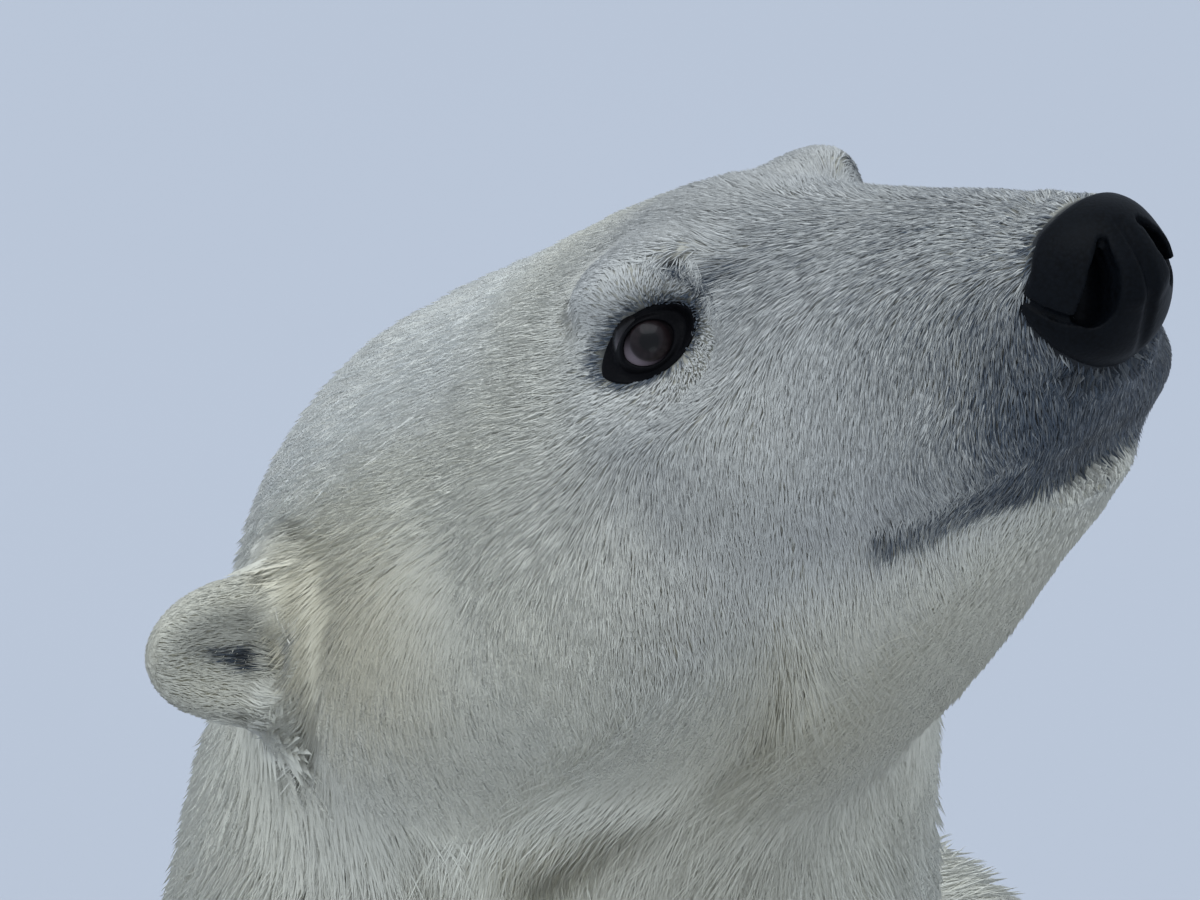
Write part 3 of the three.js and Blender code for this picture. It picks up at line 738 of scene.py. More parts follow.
    def darkness(self, p: Array) -> Array:
        """Share of dark hair at each point, from 0 to 1, with painted shade in the ear's opening.

        Args:
            p: points in world mm.

        Returns:
            One share for each point.
        """
        h = self.bear.to_head(p)
        x, z = h[:, 0], h[:, 2]
        line = np.array(self.mouth, float)
        edge = np.interp(x, line[:, 0], line[:, 2])
        rise = z - edge  # height above the line of the mouth
        front = smoothstep(x, 70, 128)
        snout = 0.37 * smoothstep(x, 50, 102)
        chops = 0.95 * smoothstep(x, 93, 127) * smoothstep(-z, 6, 66)
        dark = snout + (1 - snout) * chops + 0.18 * near(h, (40, 34, 2), (16, 12, 14), 0.9)
        lip = smoothstep(rise, -1.5, 0.5) * (1 - smoothstep(rise, 6 + 10 * front, 20 + 14 * front))
        dark = np.maximum(dark, (0.3 + 0.6 * front) * lip * smoothstep(x, 44, 62))
        edge_band = smoothstep(rise, -2.5, -0.5) * (1 - smoothstep(rise, 4 + 4 * front, 8 + 5 * front))
        dark = np.maximum(dark, edge_band * smoothstep(x, 40, 50) * (0.75 + 0.25 * front))
        folded = fold(h)
        rim = self.off_pad(folded)
        dark = np.maximum(dark, 0.35 * (1 - smoothstep(rim, 1, 9)))
        dark = np.maximum(dark, 0.85 * (1 - smoothstep(rim, 0.2, 2.2)))
        for mark in self.dark_marks:
            dark = np.maximum(dark, mark.at(h))
        reach = 1.16 + 0.3 * smoothstep(self.at_eye(folded)[:, 1], -2, 6)  # more dark hair above the eye
        dark = np.maximum(dark, 0.95 * (1 - smoothstep(self.lid_share(folded), 0.92, reach)))
        # painted shade in the ear's opening
        opening = tube(folded, self.ear_hole_painted_shade, self.ear_hole_painted_shade_radii)
        dark = np.maximum(dark, 1 - smoothstep(opening, -1.2, 2.6))
        below = smoothstep(-rise, 0.5, 3.0) * (rise < 0)
        return np.clip(dark * (1 - 0.85 * below * (rim > 2)), 0, 1)

    def bald(self, p: Array) -> Array:
        """Where no hair grows: the eyes, the nose pad, the mouth line and the soles.

        Args:
            p: points in world mm.

        Returns:
            True where no hair grows.
        """
        h = self.folded(p)
        bald = self.lid_share(h) < 0.9
        bald |= self.off_pad(h) < -1.0
        bald |= tube(h, self.mouth, (1.6,) * len(self.mouth)) < 0.4
        return bald | (p[:, 2] < 1.2)


# ---------------------------------------------------------------- meshes and nodes


def add_mesh(name: str, points: Array, faces: Array, smooth: bool = True) -> bpy.types.Object:
    """Makes an object from points in mm.

    Args:
        name: name of the object.
        points: one point a row.
        faces: corner indices, one face a row, all with the same number of corners.
        smooth: whether its faces are shaded smooth.

    Returns:
        The object, linked to the scene.
    """
    mesh = bpy.data.meshes.new(name)
    sides = faces.shape[1]
    mesh.vertices.add(len(points))
    mesh.vertices.foreach_set("co", np.ascontiguousarray(points * MM, dtype=np.float32).ravel())
    mesh.loops.add(faces.size)
    mesh.loops.foreach_set("vertex_index", np.ascontiguousarray(faces, dtype=np.int32).ravel())
    mesh.polygons.add(len(faces))
    mesh.polygons.foreach_set("loop_start", np.arange(0, faces.size, sides, dtype=np.int32))
    mesh.polygons.foreach_set("use_smooth", np.full(len(faces), smooth))
    mesh.update(calc_edges=True)
    obj = bpy.data.objects.new(name, mesh)
    bpy.context.scene.collection.objects.link(obj)
    return obj


def add_tone(obj: bpy.types.Object, colours: Array) -> None:
    """Stores a linear colour for each point of the mesh.

    Args:
        obj: the mesh.
        colours: one row for each point.
    """
    layer = obj.data.attributes.new("tone", "FLOAT_COLOR", "POINT")
    rgba = np.ones((len(colours), 4), dtype=np.float32)
    rgba[:, :3] = colours
    layer.data.foreach_set("color", rgba.ravel())


def soften(obj: bpy.types.Object, normals: Array) -> None:
    """Gives each point its own shading direction."""
    obj.data.normals_split_custom_set_from_vertices(normals.astype(np.float32))


def add_uv(obj: bpy.types.Object, uv: Array) -> None:
    """Stores the OFBake map, one row for each point of the mesh.

    Args:
        obj: the mesh.
        uv: one row for each point.
    """
    corners = np.empty(len(obj.data.loops), dtype=np.int32)
    obj.data.loops.foreach_get("vertex_index", corners)
    layer = obj.data.uv_layers.new(name="OFBake")
    layer.data.foreach_set("uv", np.ascontiguousarray(uv[corners], dtype=np.float32).ravel())


def outward(points: Array, faces: Array) -> Array:
    """The faces of a closed mesh, turned to face outwards.

    Args:
        points: the mesh points.
        faces: corner indices, one face a row.

    Returns:
        The faces, all turned one way.
    """
    fan = points[faces] - points.mean(0)
    volume = sum((fan[:, 0] * np.cross(fan[:, k], fan[:, k + 1])).sum() for k in range(1, faces.shape[1] - 1))
    return faces if volume > 0 else faces[:, ::-1]


def ring_quads(rows: int, sides: int, closed: bool = False) -> Array:
    """Quads between rows of points round rings.

    Args:
        rows: number of rings.
        sides: points in each ring.
        closed: joins the last row to the first.

    Returns:
        Corner indices, one face a row.
    """
    row, col = np.divmod(np.arange((rows if closed else rows - 1) * sides), sides)
    after, beside = (row + 1) % rows, (col + 1) % sides
    return np.stack([row * sides + col, after * sides + col, after * sides + beside, row * sides + beside], 1)


def surface_net(grid: Array, place: Callable[[Array], Array], inside: Array) -> tuple[Array, Array]:
    """Meshes the zero level of a grid of signed distances with one point to each crossed cell.

    Args:
        grid: distances at the lattice points.
        place: function from lattice indices, one row each, to points in mm.
        inside: whether each lattice point is inside.

    Returns:
        Points, and quads that face outwards.
    """
    corners = [(i, j, k) for i in (0, 1) for j in (0, 1) for k in (0, 1)]
    nx, ny, nz = (n - 1 for n in grid.shape)
    count = np.zeros((nx, ny, nz), np.int8)
    for i, j, k in corners:
        count += inside[i : nx + i, j : ny + j, k : nz + k]
    cells = np.argwhere((count > 0) & (count < 8))
    number = np.full((nx, ny, nz), -1, np.int32)
    number[tuple(cells.T)] = np.arange(len(cells))
    total = np.zeros((len(cells), 3))
    weight = np.zeros((len(cells), 1))
    for a in corners:
        for axis in range(3):
            if a[axis]:
                continue
            b = tuple(c + (n == axis) for n, c in enumerate(a))
            ca, cb = cells + np.array(a), cells + np.array(b)
            va, vb = grid[tuple(ca.T)], grid[tuple(cb.T)]
            cross = inside[tuple(ca.T)] != inside[tuple(cb.T)]
            t = np.clip(va[cross] / (va[cross] - vb[cross]), 0, 1)[:, None]
            total[cross] += place(ca[cross]) * (1 - t) + place(cb[cross]) * t
            weight[cross] += 1
    quads = []
    for axis, (u, v) in enumerate(((1, 2), (2, 0), (0, 1))):
        step = np.zeros(3, int)
        step[axis] = 1
        start = np.argwhere(np.diff(inside.astype(np.int8), axis=axis) != 0)
        most = (nx, ny, nz)
        start = start[(start[:, [u, v]] > 0).all(1) & (start[:, [u, v]] < (most[u], most[v])).all(1)]
        flip = ~inside[tuple(start.T)]
        ring = []
        for du, dv in ((1, 1), (0, 1), (0, 0), (1, 0)):
            cell = start.copy()
            cell[:, u] -= du
            cell[:, v] -= dv
            ring.append(number[tuple(cell.T)])
        quad = np.stack(ring, 1)
        quad[flip] = quad[flip][:, ::-1]
        quads.append(quad)
    return total / weight, np.concatenate(quads)


def settle(points: Array, height: Callable[[Array], Array], rounds: int = 3) -> Array:
    """Moves points onto the zero level of a height function by its slope.

    Args:
        points: points close to it.
        height: signed distance at points.
        rounds: number of moves.

    Returns:
        The moved points.
    """
    step = 0.3
    for _ in range(rounds):
        d = height(points)
        slope = np.stack([height(points + e) - d for e in np.eye(3) * step], 1) / step
        points = points - slope * np.clip(d / np.maximum((slope**2).sum(1), 0.05), -4, 4)[:, None]
    return points


@dataclass(frozen=True)
class Lattice:
    """Sample points over the whole bear, wide apart on the body and close together on the head, in mm."""

    cell: float = 7.2
    fine: float = 0.36  # size of a cell on the head, as a share of one on the body
    body_top: float = 950.0
    head_bottom: float = 1200.0
    top: float = 1536.0
    half: tuple = (490.0, 568.0)  # reach across and along the body
    middle: tuple = (0.0, -335.0)  # middle of the lattice along y, at the body and at the head
    block: int = 4

    def scale(self, z: Array) -> Array:
        """Size of a cell at each height, as a share of one on the body."""
        return 1 + (self.fine - 1) * smoothstep(z, self.body_top, self.head_bottom)

    def axes(self) -> tuple[Array, Array, Array]:
        """Steps across, along and up, before the lattice narrows.

        Returns:
            Places along each axis in mm.
        """
        steps = []
        for half in self.half:
            n = int(2 * half / self.cell) // self.block * self.block + self.block
            steps.append((np.arange(n) - (n - 1) / 2) * self.cell)
        z, heights = -6.5, []
        while z < self.top or len(heights) % self.block:
            heights.append(z)
            z += self.cell * float(self.scale(np.array(z)))
        return steps[0], steps[1], np.array(heights)

    def mesh(self, height: Callable[[Array], Array]) -> tuple[Array, Array]:
        """Meshes the zero level of a height function.

        Args:
            height: signed distance at world points.

        Returns:
            Points and faces.
        """
        ax, ay, az = self.axes()
        scale = self.scale(az)
        shift = self.middle[1] - self.middle[0]
        middle = self.middle[0] + shift * smoothstep(az, self.body_top, self.head_bottom)

        def place(index: Array) -> Array:
            """World points from lattice numbers."""
            i, j, k = index.T
            return np.stack([ax[i] * scale[k], middle[k] + ay[j] * scale[k], az[k]], 1)

        b = self.block
        shape = np.array([len(ax), len(ay), len(az)])
        blocks = np.argwhere(np.ones(shape // b, bool))
        d = height(place(blocks * b + b // 2))
        shear = np.abs(np.gradient(middle, az))
        level = blocks[:, 2] * b + b // 2
        reach = 1.45 * b * self.cell * scale[level] * (0.87 + 0.5 * shear[level])
        offsets = np.argwhere(np.ones((b, b, b), bool))
        grid = np.repeat(np.repeat(np.repeat(d.reshape(shape // b), b, 0), b, 1), b, 2)
        close = blocks[np.abs(d) < reach]
        fine = (close[:, None] * b + offsets[None]).reshape(-1, 3)
        values = np.concatenate([height(place(part)) for part in np.array_split(fine, 8)])
        grid[tuple(fine.T)] = values
        points, quads = surface_net(grid, place, grid < 0)
        return settle(points, height), quads


class Skin:
    """The one skin over all the flesh, with the places from which its hair grows."""

    def __init__(self, hide: Hide, lattice: Lattice) -> None:
        """Meshes the skin once; the coat and the visible skin share it.

        Args:
            hide: the skin to mesh.
            lattice: the grid to mesh it on.
        """
        self.hide = hide
        self.points, self.quads = lattice.mesh(hide.height)
        self.normals = hide.normals(self.points)

    def build(self) -> bpy.types.Object:
        """Adds the skin as an object with its markings and painted shade and light.

        Returns:
            The object.
        """
        obj = add_mesh("skin", self.points, self.quads)
        folded = self.hide.folded(self.points)
        by_pad = 1 - smoothstep(self.hide.off_pad(folded), 1.5, 4.0)
        bare = np.maximum(by_pad, self.hide.lid_share(folded) < 0.98)
        dark = np.maximum(self.hide.darkness(self.points), bare)[:, None]
        under, black = linear(Tint.UNDER.value), linear(Tint.BLACK_SKIN.value)
        tone = self.hide.pale_colour(self.points) * under / linear("#ffffff") * (1 - dark) + black * dark
        sole = (1 - smoothstep(self.points[:, 2], 1.5, 5.0))[:, None]  # bare black pads on the floor
        add_tone(obj, tone * (1 - sole) + black * sole)
        return obj

    def roots(self, density: Callable[[Array], Array], rng: np.random.Generator) -> tuple[Array, Array]:
        """Spreads hair roots over the skin.

        Args:
            density: function from points to roots for each square mm.
            rng: source of the scatter.

        Returns:
            Root points and the outward direction at each.
        """
        corners = self.points[self.quads]
        crossed = np.cross(corners[:, 2] - corners[:, 0], corners[:, 3] - corners[:, 1])
        area = np.linalg.norm(crossed, axis=1) / 2
        wanted = np.cumsum(area * density(corners.mean(1)))
        total = int(wanted[-1])
        face = np.searchsorted(wanted, np.arange(total) + rng.random(total))
        face = np.minimum(face, len(self.quads) - 1)
        u, v = rng.random((2, total, 1))
        share = np.stack([(1 - u) * (1 - v), u * (1 - v), u * v, (1 - u) * v], 1)
        points = (corners[face] * share).sum(1)
        normals = unit((self.normals[self.quads][face] * share).sum(1))
        return points, normals


@dataclass(frozen=True)
class Patch:
    """One piece of the coat: its name, and the axis round which its OFBake map is unrolled, in mm."""

    name: str
    origin: tuple
    axis: tuple


@dataclass(frozen=True)
class Coat:
    """Hair in flat tufts that follow the lie of the coat, each a thin closed leaf bent at its middle."""

    hide: Hide = Hide()
    head_density: float = 1.1  # tufts for each square mm on the head
    neck_density: float = 0.32
    body_density: float = 0.034
    cover: float = 2.1  # layers of tufts over each point of the skin
    reach: float = 3.3  # length of a tuft as a share of the coat's depth
    shortest: float = 5.5
    widest: float = 0.35  # width of a tuft as a share of its length
    smoothness: float = 0.95  # share of the skin's own direction in the shading of a tuft
    mottle: float = 0.45  # how unevenly dark hair is mixed into pale hair
    lengths: tuple = (0.75, 1.2)  # spread of the tufts' lengths
    lifts: tuple = (0.6, 0.95)  # height of a tip over the skin, as a share of the coat's depth
    wander: tuple = ((11, 95, 5), (6, 26, 6))  # degrees off the lie, length of the waves in mm, and seed
    stray: float = 9.0  # degrees off the lie for each tuft by itself
    roll: float = 0.16  # tilt of a tuft round its length, in radians
    root_sink: float = 1.0  # mm by which a root is sunk into the skin
    pale_range: tuple = (0.95, 1.03)  # spread of the brightness of pale hair
    dark_range: tuple = (0.6, 1.4)
    # painted shade: darker at the root, where the tufts shade one another, and lighter towards the tip
    painted_shade_root_to_tip: tuple = (0.94, 0.99, 0.99, 1.02)  # brightness at the root, the two sides and the tip
    map_spot: float = 0.0015  # half the size of a tuft on its map
    seed: int = 11

    def density(self, p: Array) -> Array:
        """Tufts for each square mm of skin.

        Args:
            p: points in world mm.

        Returns:
            One density for each point.
        """
        heights = (0, 300, 950, 1130, 1200, 1260)
        low, mid = self.body_density, self.neck_density
        levels = (low * 1.8, low, low, mid * 0.75, mid, self.head_density)
        h = self.hide.bear.to_head(p)
        density = np.interp(p[:, 2], heights, levels)
        head = p[:, 2] > 1180
        neck = smoothstep(-h[:, 0], 150, 235)
        density = np.where(head, density * (1 - neck) + mid * neck, density)
        face = 2 * near(h, self.hide.eye_front, (34, 34, 34), 0.6) + smoothstep(h[:, 0], 60, 110)
        ear = near(h, self.hide.bear.ear_tip, (60, 60, 60), 0.4)
        return density * (1 + 0.3 * np.clip(face, 0, 2) + 0.6 * ear)

    def patches(self, p: Array) -> tuple[list[Patch], Array]:
        """The pieces of the coat and the number of the piece to which each root belongs.

        Args:
            p: the roots.

        Returns:
            The pieces, and one number for each root.
        """
        bear = self.hide.bear
        h = bear.to_head(p)
        left = p[:, 0] >= 0
        x, y, z = np.abs(p[:, 0]), p[:, 1], p[:, 2]
        head_axis, up = tuple(bear.head_axes()[0]), (0.0, 0.0, 1.0)
        head_middle = tuple(bear.from_head(np.array([0.0, 0.0, -40.0])))
        base, ear_axes, _ = bear.ear_frame()
        from_base = fold(h) - base
        body = z < 940
        kinds = {
            "muzzle": (head_middle, head_axis),
            "cheek": (head_middle, head_axis),
            "skull": (head_middle, head_axis),
            "neck": (bear.at(150, 1100), up),
            "ear": (tuple(bear.from_head(base)), up),
            "chest": (bear.at(50, 700), up),
            "back": (bear.at(-150, 500), up),
            "brow": (head_middle, head_axis),
            "foreleg": (bear.at(150, 300, 185), up),
            "hind_leg": (bear.at(-100, 200, 320), up),
        }
        bounds = {  # each takes its roots from those above it, and the skull has the rest
            "cheek": h[:, 0] > -62,
            "brow": (h[:, 0] > -62) & (h[:, 2] > -32),
            "muzzle": h[:, 0] > 52,
            "neck": (h[:, 0] * 0.9 + h[:, 2] * 0.45 < -215) | (z < 1190),
            "ear": (from_base @ ear_axes[0] > 2) & (np.linalg.norm(from_base, axis=1) < 90) & (z > 1200),
            "chest": body,
            "back": body & (y > -60),
            "foreleg": (z < 420) & (y < -100) & (x > 60),
            "hind_leg": (z < 420) & (y >= -100) & (y < 300) & (x > 170),
        }
        names = list(kinds)
        region = np.full(len(p), names.index("skull"))
        for name, mask in bounds.items():
            region[mask] = names.index(name)
        found, number = [], np.zeros(len(p), int)
        for kind, (name, (origin, axis)) in enumerate(kinds.items()):
            for side, sign in (("left", 1), ("right", -1)):
                mask = (region == kind) & (left == (sign > 0))
                number[mask] = len(found)
                found.append(Patch(f"coat_{name}_{side}", (origin[0] * sign, origin[1], origin[2]), axis))
        return found, number

    def grow(self, skin: Skin) -> dict[str, Array]:
        """Places every tuft.

        Args:
            skin: the skin from which the tufts grow.

        Returns:
            Roots, the four corners of each tuft, and a linear colour for each corner.
        """
        rng = np.random.default_rng(self.seed)
        hide = self.hide
        p, n = skin.roots(self.density, rng)
        keep = ~hide.bald(p)
        p, n = p[keep], n[keep]
        count = len(p)
        depth = hide.depth(p)
        lie = hide.lie(p, n)
        lie = unit(lie - n * (lie * n).sum(1, keepdims=True))
        wander = sum(degrees * waves(p, span, seed) for degrees, span, seed in self.wander)
        turn = np.radians(wander + self.stray * rng.normal(size=count))[:, None]
        across = np.cross(n, lie)
        lie = lie * np.cos(turn) + across * np.sin(turn)
        length = np.maximum(self.reach * depth, self.shortest) * rng.uniform(*self.lengths, count)
        h = hide.folded(p)
        bare = near(h, hide.eye_front, (24, 24, 24), 0.4)
        on_ear = 1 - smoothstep(hide.bear.ear(h), -3, 2)
        length *= (1 - 0.2 * bare) * (1 - 0.2 * on_ear)
        bend = (n * hide.normals(p + lie * (0.5 * length)[:, None])).sum(1)
        length *= 0.4 + 0.6 * smoothstep(bend, 0.2, 0.9)
        width = np.minimum(2 * self.cover / (self.density(p) * length), self.widest * length)
        roll = rng.normal(0, self.roll, count)[:, None]
        across = np.cross(n, lie) * np.cos(roll) + n * np.sin(roll)
        lift = rng.uniform(*self.lifts, count) + 0.06 * waves(p, 18, 9)
        on_head = smoothstep(h[:, 0], -190, -110)
        lift *= (1 - 0.22 * on_head) * (1 - 0.4 * on_ear)
        middle, n_middle = self.follow(p, lie, 0.45 * length, 0.62 * lift, depth)
        onward = unit(lie - n_middle * (lie * n_middle).sum(1, keepdims=True))
        tip, n_tip = self.follow(middle, onward, 0.5 * length, np.minimum(lift, 1.0), depth)
        root = p - n * np.minimum(self.root_sink, 0.3 * depth)[:, None]
        half = across * (width / 2)[:, None]
        corners = np.stack([root, middle + half, middle - half, tip], 1)
        corners[..., 2] = np.maximum(corners[..., 2], 0.6)
        spread = np.stack([-lie, across, -across, onward], 1) * (1 - self.smoothness)
        shade = unit(np.stack([n, n_middle, n_middle, n_tip], 1) * self.smoothness + spread)
        edges = corners[:, 1:] - corners[:, :1]
        inside_out = (np.cross(edges[:, 0], edges[:, 1]) * edges[:, 2]).sum(1) < 0
        for values in (corners, shade):
            values[inside_out] = values[inside_out][:, [0, 2, 1, 3]]
        return {"root": p, "corners": corners, "colour": self.colours(p, rng), "shade": shade}

    def follow(self, p: Array, way: Array, length: Array, share: Array, depth: Array) -> tuple[Array, Array]:
        """Follows the skin with each tuft.

        Args:
            p: points to start from.
            way: direction along the skin.
            length: how far to go.
            share: height over the skin to end at, as a share of the coat's depth.
            depth: depth of the coat at the root.

        Returns:
            Points, and the outward direction at each.
        """
        q = p + way * length[:, None]
        n = self.hide.normals(q)
        height = share * np.minimum(depth, self.hide.depth(q))
        return q + n * (height - self.hide.height(q))[:, None], n

    def colours(self, p: Array, rng: np.random.Generator) -> Array:
        """Linear colour of the root, the two sides and the tip of each tuft, with painted shade at the root.

        Args:
            p: the roots.
            rng: the source of random numbers.

        Returns:
            Four colours for each tuft.
        """
        share = self.hide.darkness(p)
        mixed = share + self.mottle * rng.normal(size=len(p)) * np.sqrt(share * (1.05 - share))
        mixed = np.clip(mixed, 0, 1)[:, None]
        pale = self.hide.pale_colour(p) * rng.uniform(*self.pale_range, (len(p), 1))
        black = linear(Tint.DARK_HAIR.value) * rng.uniform(*self.dark_range, (len(p), 1))
        black *= 1 - 0.55 * smoothstep(share, 0.97, 1.0)[:, None]
        colour = pale * (1 - mixed) + black * mixed
        # painted shade: darker at the root, where the tufts shade one another
        return np.clip(colour[:, None] * np.array(self.painted_shade_root_to_tip)[:, None], 0.002, 0.93)

    def build(self, skin: Skin) -> list[bpy.types.Object]:
        """Adds the coat, one object for each patch.

        Args:
            skin: the skin from which it grows.

        Returns:
            The objects.
        """
        hair = self.grow(skin)
        patches, number = self.patches(hair["root"])
        leaf = np.array([[0, 2, 1], [2, 3, 1], [0, 1, 3], [0, 3, 2]])
        spot = self.map_spot * np.array([[0, -1], [1, 0], [-1, 0], [0, 1]])
        objects = []
        for index, patch in enumerate(patches):
            mine = number == index
            corners = hair["corners"][mine].reshape(-1, 3)
            tufts = len(corners) // 4
            if not tufts:
                continue
            faces = (leaf[None] + 4 * np.arange(tufts)[:, None, None]).reshape(-1, 3)
            obj = add_mesh(patch.name, corners, faces)
            soften(obj, hair["shade"][mine].reshape(-1, 3))
            add_tone(obj, hair["colour"][mine].reshape(-1, 3))
            uv = self.unroll(hair["root"][mine], patch)
            add_uv(obj, (uv[:, None] + spot[None]).reshape(-1, 2))
            objects.append(obj)
            LOG.info("%s: %d tufts, %d triangles", patch.name, tufts, len(faces))
        return objects

    def unroll(self, p: Array, patch: Patch) -> Array:
        """Places roots on a flat map by rolling the skin out round the patch's axis.

        Args:
            p: the roots.
            patch: their piece of the coat.

        Returns:
            Places on the map, from 0 to 1.
        """
        axis = unit(np.array([patch.axis]))[0]
        ahead = unit(np.cross([[1.0, 0.0, 0.0]], axis))[0]
        side = np.cross(axis, ahead)
        r = p - np.array(patch.origin)
        outward = 1.0 if patch.name.endswith("left") else -1.0
        angle = np.arctan2(r @ ahead, (r @ side) * outward)
        uv = np.stack([angle, r @ axis], 1)
        low, high = uv.min(0), uv.max(0)
        return 0.004 + 0.992 * (uv - low) / np.maximum(high - low, 1e-6)


# ---------------------------------------------------------------- eyes, nose pad and claws


@dataclass(frozen=True)
class Lids:
    """Bare black eyelids: a closed ring from the eyeball out to the coat, in mm."""

    hide: Hide = Hide()
    opening: tuple = (8.9, 6.6)  # half length and half height of the opening
    # Rows of points: share of the way out to the coat, radius round the eyeball, rise to the skin, sink
    edge_rows: tuple = ((-0.10, 11.9, 0, 0), (-0.05, 12.75, 0, 0), (0.0, 13.3, 0, 0))
    back_rows: tuple = ((1.08, 13.7, 1, 3.0), (0.6, 11.0, 0.5, 4.0), (0.0, 10.6, 0, 0))
    over_ball: float = 13.7  # radius round the eyeball of the rows between
    over_skin: float = 0.5  # how far the lids stand over the skin
    steps: int = 10
    around: int = 96

    def almond(self, angle: Array, half: Array, point: float) -> Array:
        """Points round an almond, with sharper corners the larger point is."""
        s = np.sin(angle)
        return np.stack([half[0] * np.cos(angle), half[1] * np.sign(s) * np.abs(s) ** point], -1)

    def build(self, side: str) -> bpy.types.Object:
        """Adds the lids of the left or right eye.

        Args:
            side: left or right.

        Returns:
            The object.
        """
        frame, eye = self.hide.eye_frame(), np.array(self.hide.eye)
        angle = np.linspace(0, 2 * math.pi, self.around, endpoint=False)
        inner = self.almond(angle, self.opening, 1.18)
        outer = self.almond(angle, self.hide.lid_reach, 1.3)
        level = self.skin_level(outer)
        rows = []

        def ring(share: float, sphere: float, rise: float, sink: float, over: bool = False) -> None:
            """Adds one row of points.

            Args:
                share: how far out it lies, from 0 at the opening to 1 at the coat.
                sphere: its radius round the eyeball.
                rise: how far it has risen from that sphere to the skin, from 0 to 1.
                sink: how far it is drawn in.
                over: keeps it over the skin.
            """
            flat = inner * (1 - share) + outer * share
            ball = np.sqrt(np.maximum(sphere**2 - (flat**2).sum(1), 9.0))
            height = ball * (1 - rise) + level * rise - sink
            if over:
                height = np.maximum(height, self.skin_level(flat))
            rows.append(np.column_stack([flat, height]))

        for row in self.edge_rows:
            ring(*row)
        for step in range(1, self.steps + 1):
            t = step / self.steps
            crease = 0.5 * math.exp(-(((t - 0.45) / 0.09) ** 2))
            ring(t, self.over_ball, t * t * (3 - 2 * t), crease, over=t > 0.25)
        for row in self.back_rows:
            ring(*row)
        points = np.concatenate(rows) @ frame + eye
        if side == "right":
            points[:, 1] *= -1
        points = self.hide.bear.from_head(points)
        quads = ring_quads(len(rows), self.around, closed=True)
        return add_mesh(f"eyelids_{side}", points, outward(points, quads))

    def skin_level(self, flat: Array) -> Array:
        """Height of the skin above the eyeball's middle at places across the lids.

        Args:
            flat: places in the eye's own axes.

        Returns:
            One height for each place.
        """
        frame, eye = self.hide.eye_frame(), np.array(self.hide.eye)
        level = np.full(len(flat), 24.0)  # starts well outside and walks in
        for _ in range(40):
            h = np.column_stack([flat, level]) @ frame + eye
            level = level - np.clip(self.hide.height(self.hide.bear.from_head(h)), -2, 2) * 0.6
        return level + self.over_skin


@dataclass(frozen=True)
class Eye:
    """A wet dark eyeball with a raised cornea over a brown iris, in mm."""

    hide: Hide = Hide()
    gaze: tuple = (0.772, 0.632, 0.059)
    radius: float = 12.5
    cornea: float = 0.9  # how far the cornea stands out
    limbus: float = 7.2  # radius of the groove round the cornea
    iris: float = 6.2
    pupil: float = 2.9
    rings: int = 64
    sides: int = 72

    def build(self, side: str) -> bpy.types.Object:
        """Adds the left or right eyeball.

        Args:
            side: left or right.

        Returns:
            The object.
        """
        gaze = unit(np.array([self.gaze]))[0]
        up = np.array([0.0, 0.0, 1.0]) - gaze * gaze[2]
        up /= np.linalg.norm(up)
        across = np.cross(up, gaze)
        polar = np.linspace(0, math.pi, self.rings + 1)[1:-1]
        turn = np.linspace(0, 2 * math.pi, self.sides, endpoint=False)
        grid = np.stack(np.meshgrid(polar, turn, indexing="ij"), -1).reshape(-1, 2)
        grid = np.concatenate([[[0, 0]], grid, [[math.pi, 0]]])
        off = self.radius * np.sin(grid[:, 0])
        front = np.cos(grid[:, 0]) > 0
        bulge = self.cornea * (1 - smoothstep(off, 2.0, 8.5)) * front
        groove = 0.35 * (1 - smoothstep(np.abs(off - self.limbus), 0, 1.6)) * front
        reach = self.radius + bulge - groove
        ray = np.outer(np.cos(grid[:, 0]), gaze)
        ray += np.outer(np.sin(grid[:, 0]) * np.cos(grid[:, 1]), across)
        ray += np.outer(np.sin(grid[:, 0]) * np.sin(grid[:, 1]), up)
        points = np.array(self.hide.eye) + ray * reach[:, None]
        n, m = self.sides, self.rings - 1
        quads = ring_quads(m, n) + 1
        tris = [(0, 1 + c, 1 + (c + 1) % n) for c in range(n)]
        last = 1 + m * n
        tris += [(last, 1 + (m - 1) * n + (c + 1) % n, 1 + (m - 1) * n + c) for c in range(n)]
        faces = np.concatenate([quads[:, [0, 1, 2]], quads[:, [0, 2, 3]], np.array(tris)])
        if side == "right":
            points[:, 1] *= -1
        points = self.hide.bear.from_head(points)
        obj = add_mesh(f"eyeball_{side}", points, outward(points, faces))
        add_tone(obj, self.tones(off, front, grid[:, 1]))
        return obj

    def tones(self, off: Array, front: Array, turn: Array) -> Array:
        """Linear colour at a distance off the gaze and at a turn round it.

        Args:
            off: distance off the gaze.
            front: true on the front half.
            turn: turn round the gaze.

        Returns:
            One colour for each point.
        """
        black, brown, grey, pink = (linear(c) for c in ("#080607", "#1f1718", "#1c191a", "#6a5f64"))
        streak = 0.85 + 0.2 * np.sin(37 * turn) * np.sin(23 * turn + 1)
        open_iris = smoothstep(off, self.pupil - 0.5, self.pupil + 0.6)[:, None]
        colour = black + (brown * streak[:, None] - black) * open_iris
        rim = smoothstep(off, self.iris - 0.5, self.iris + 0.5)[:, None]
        # the rim round the iris turns pale pink towards one side
        outer = np.maximum(np.cos(turn + math.radians(38)), 0) ** 2
        white = grey * 0.55 + (pink - grey * 0.55) * (outer * (off < 11))[:, None]
        colour = colour * (1 - rim) + white * rim
        return np.where(front[:, None], colour, grey)


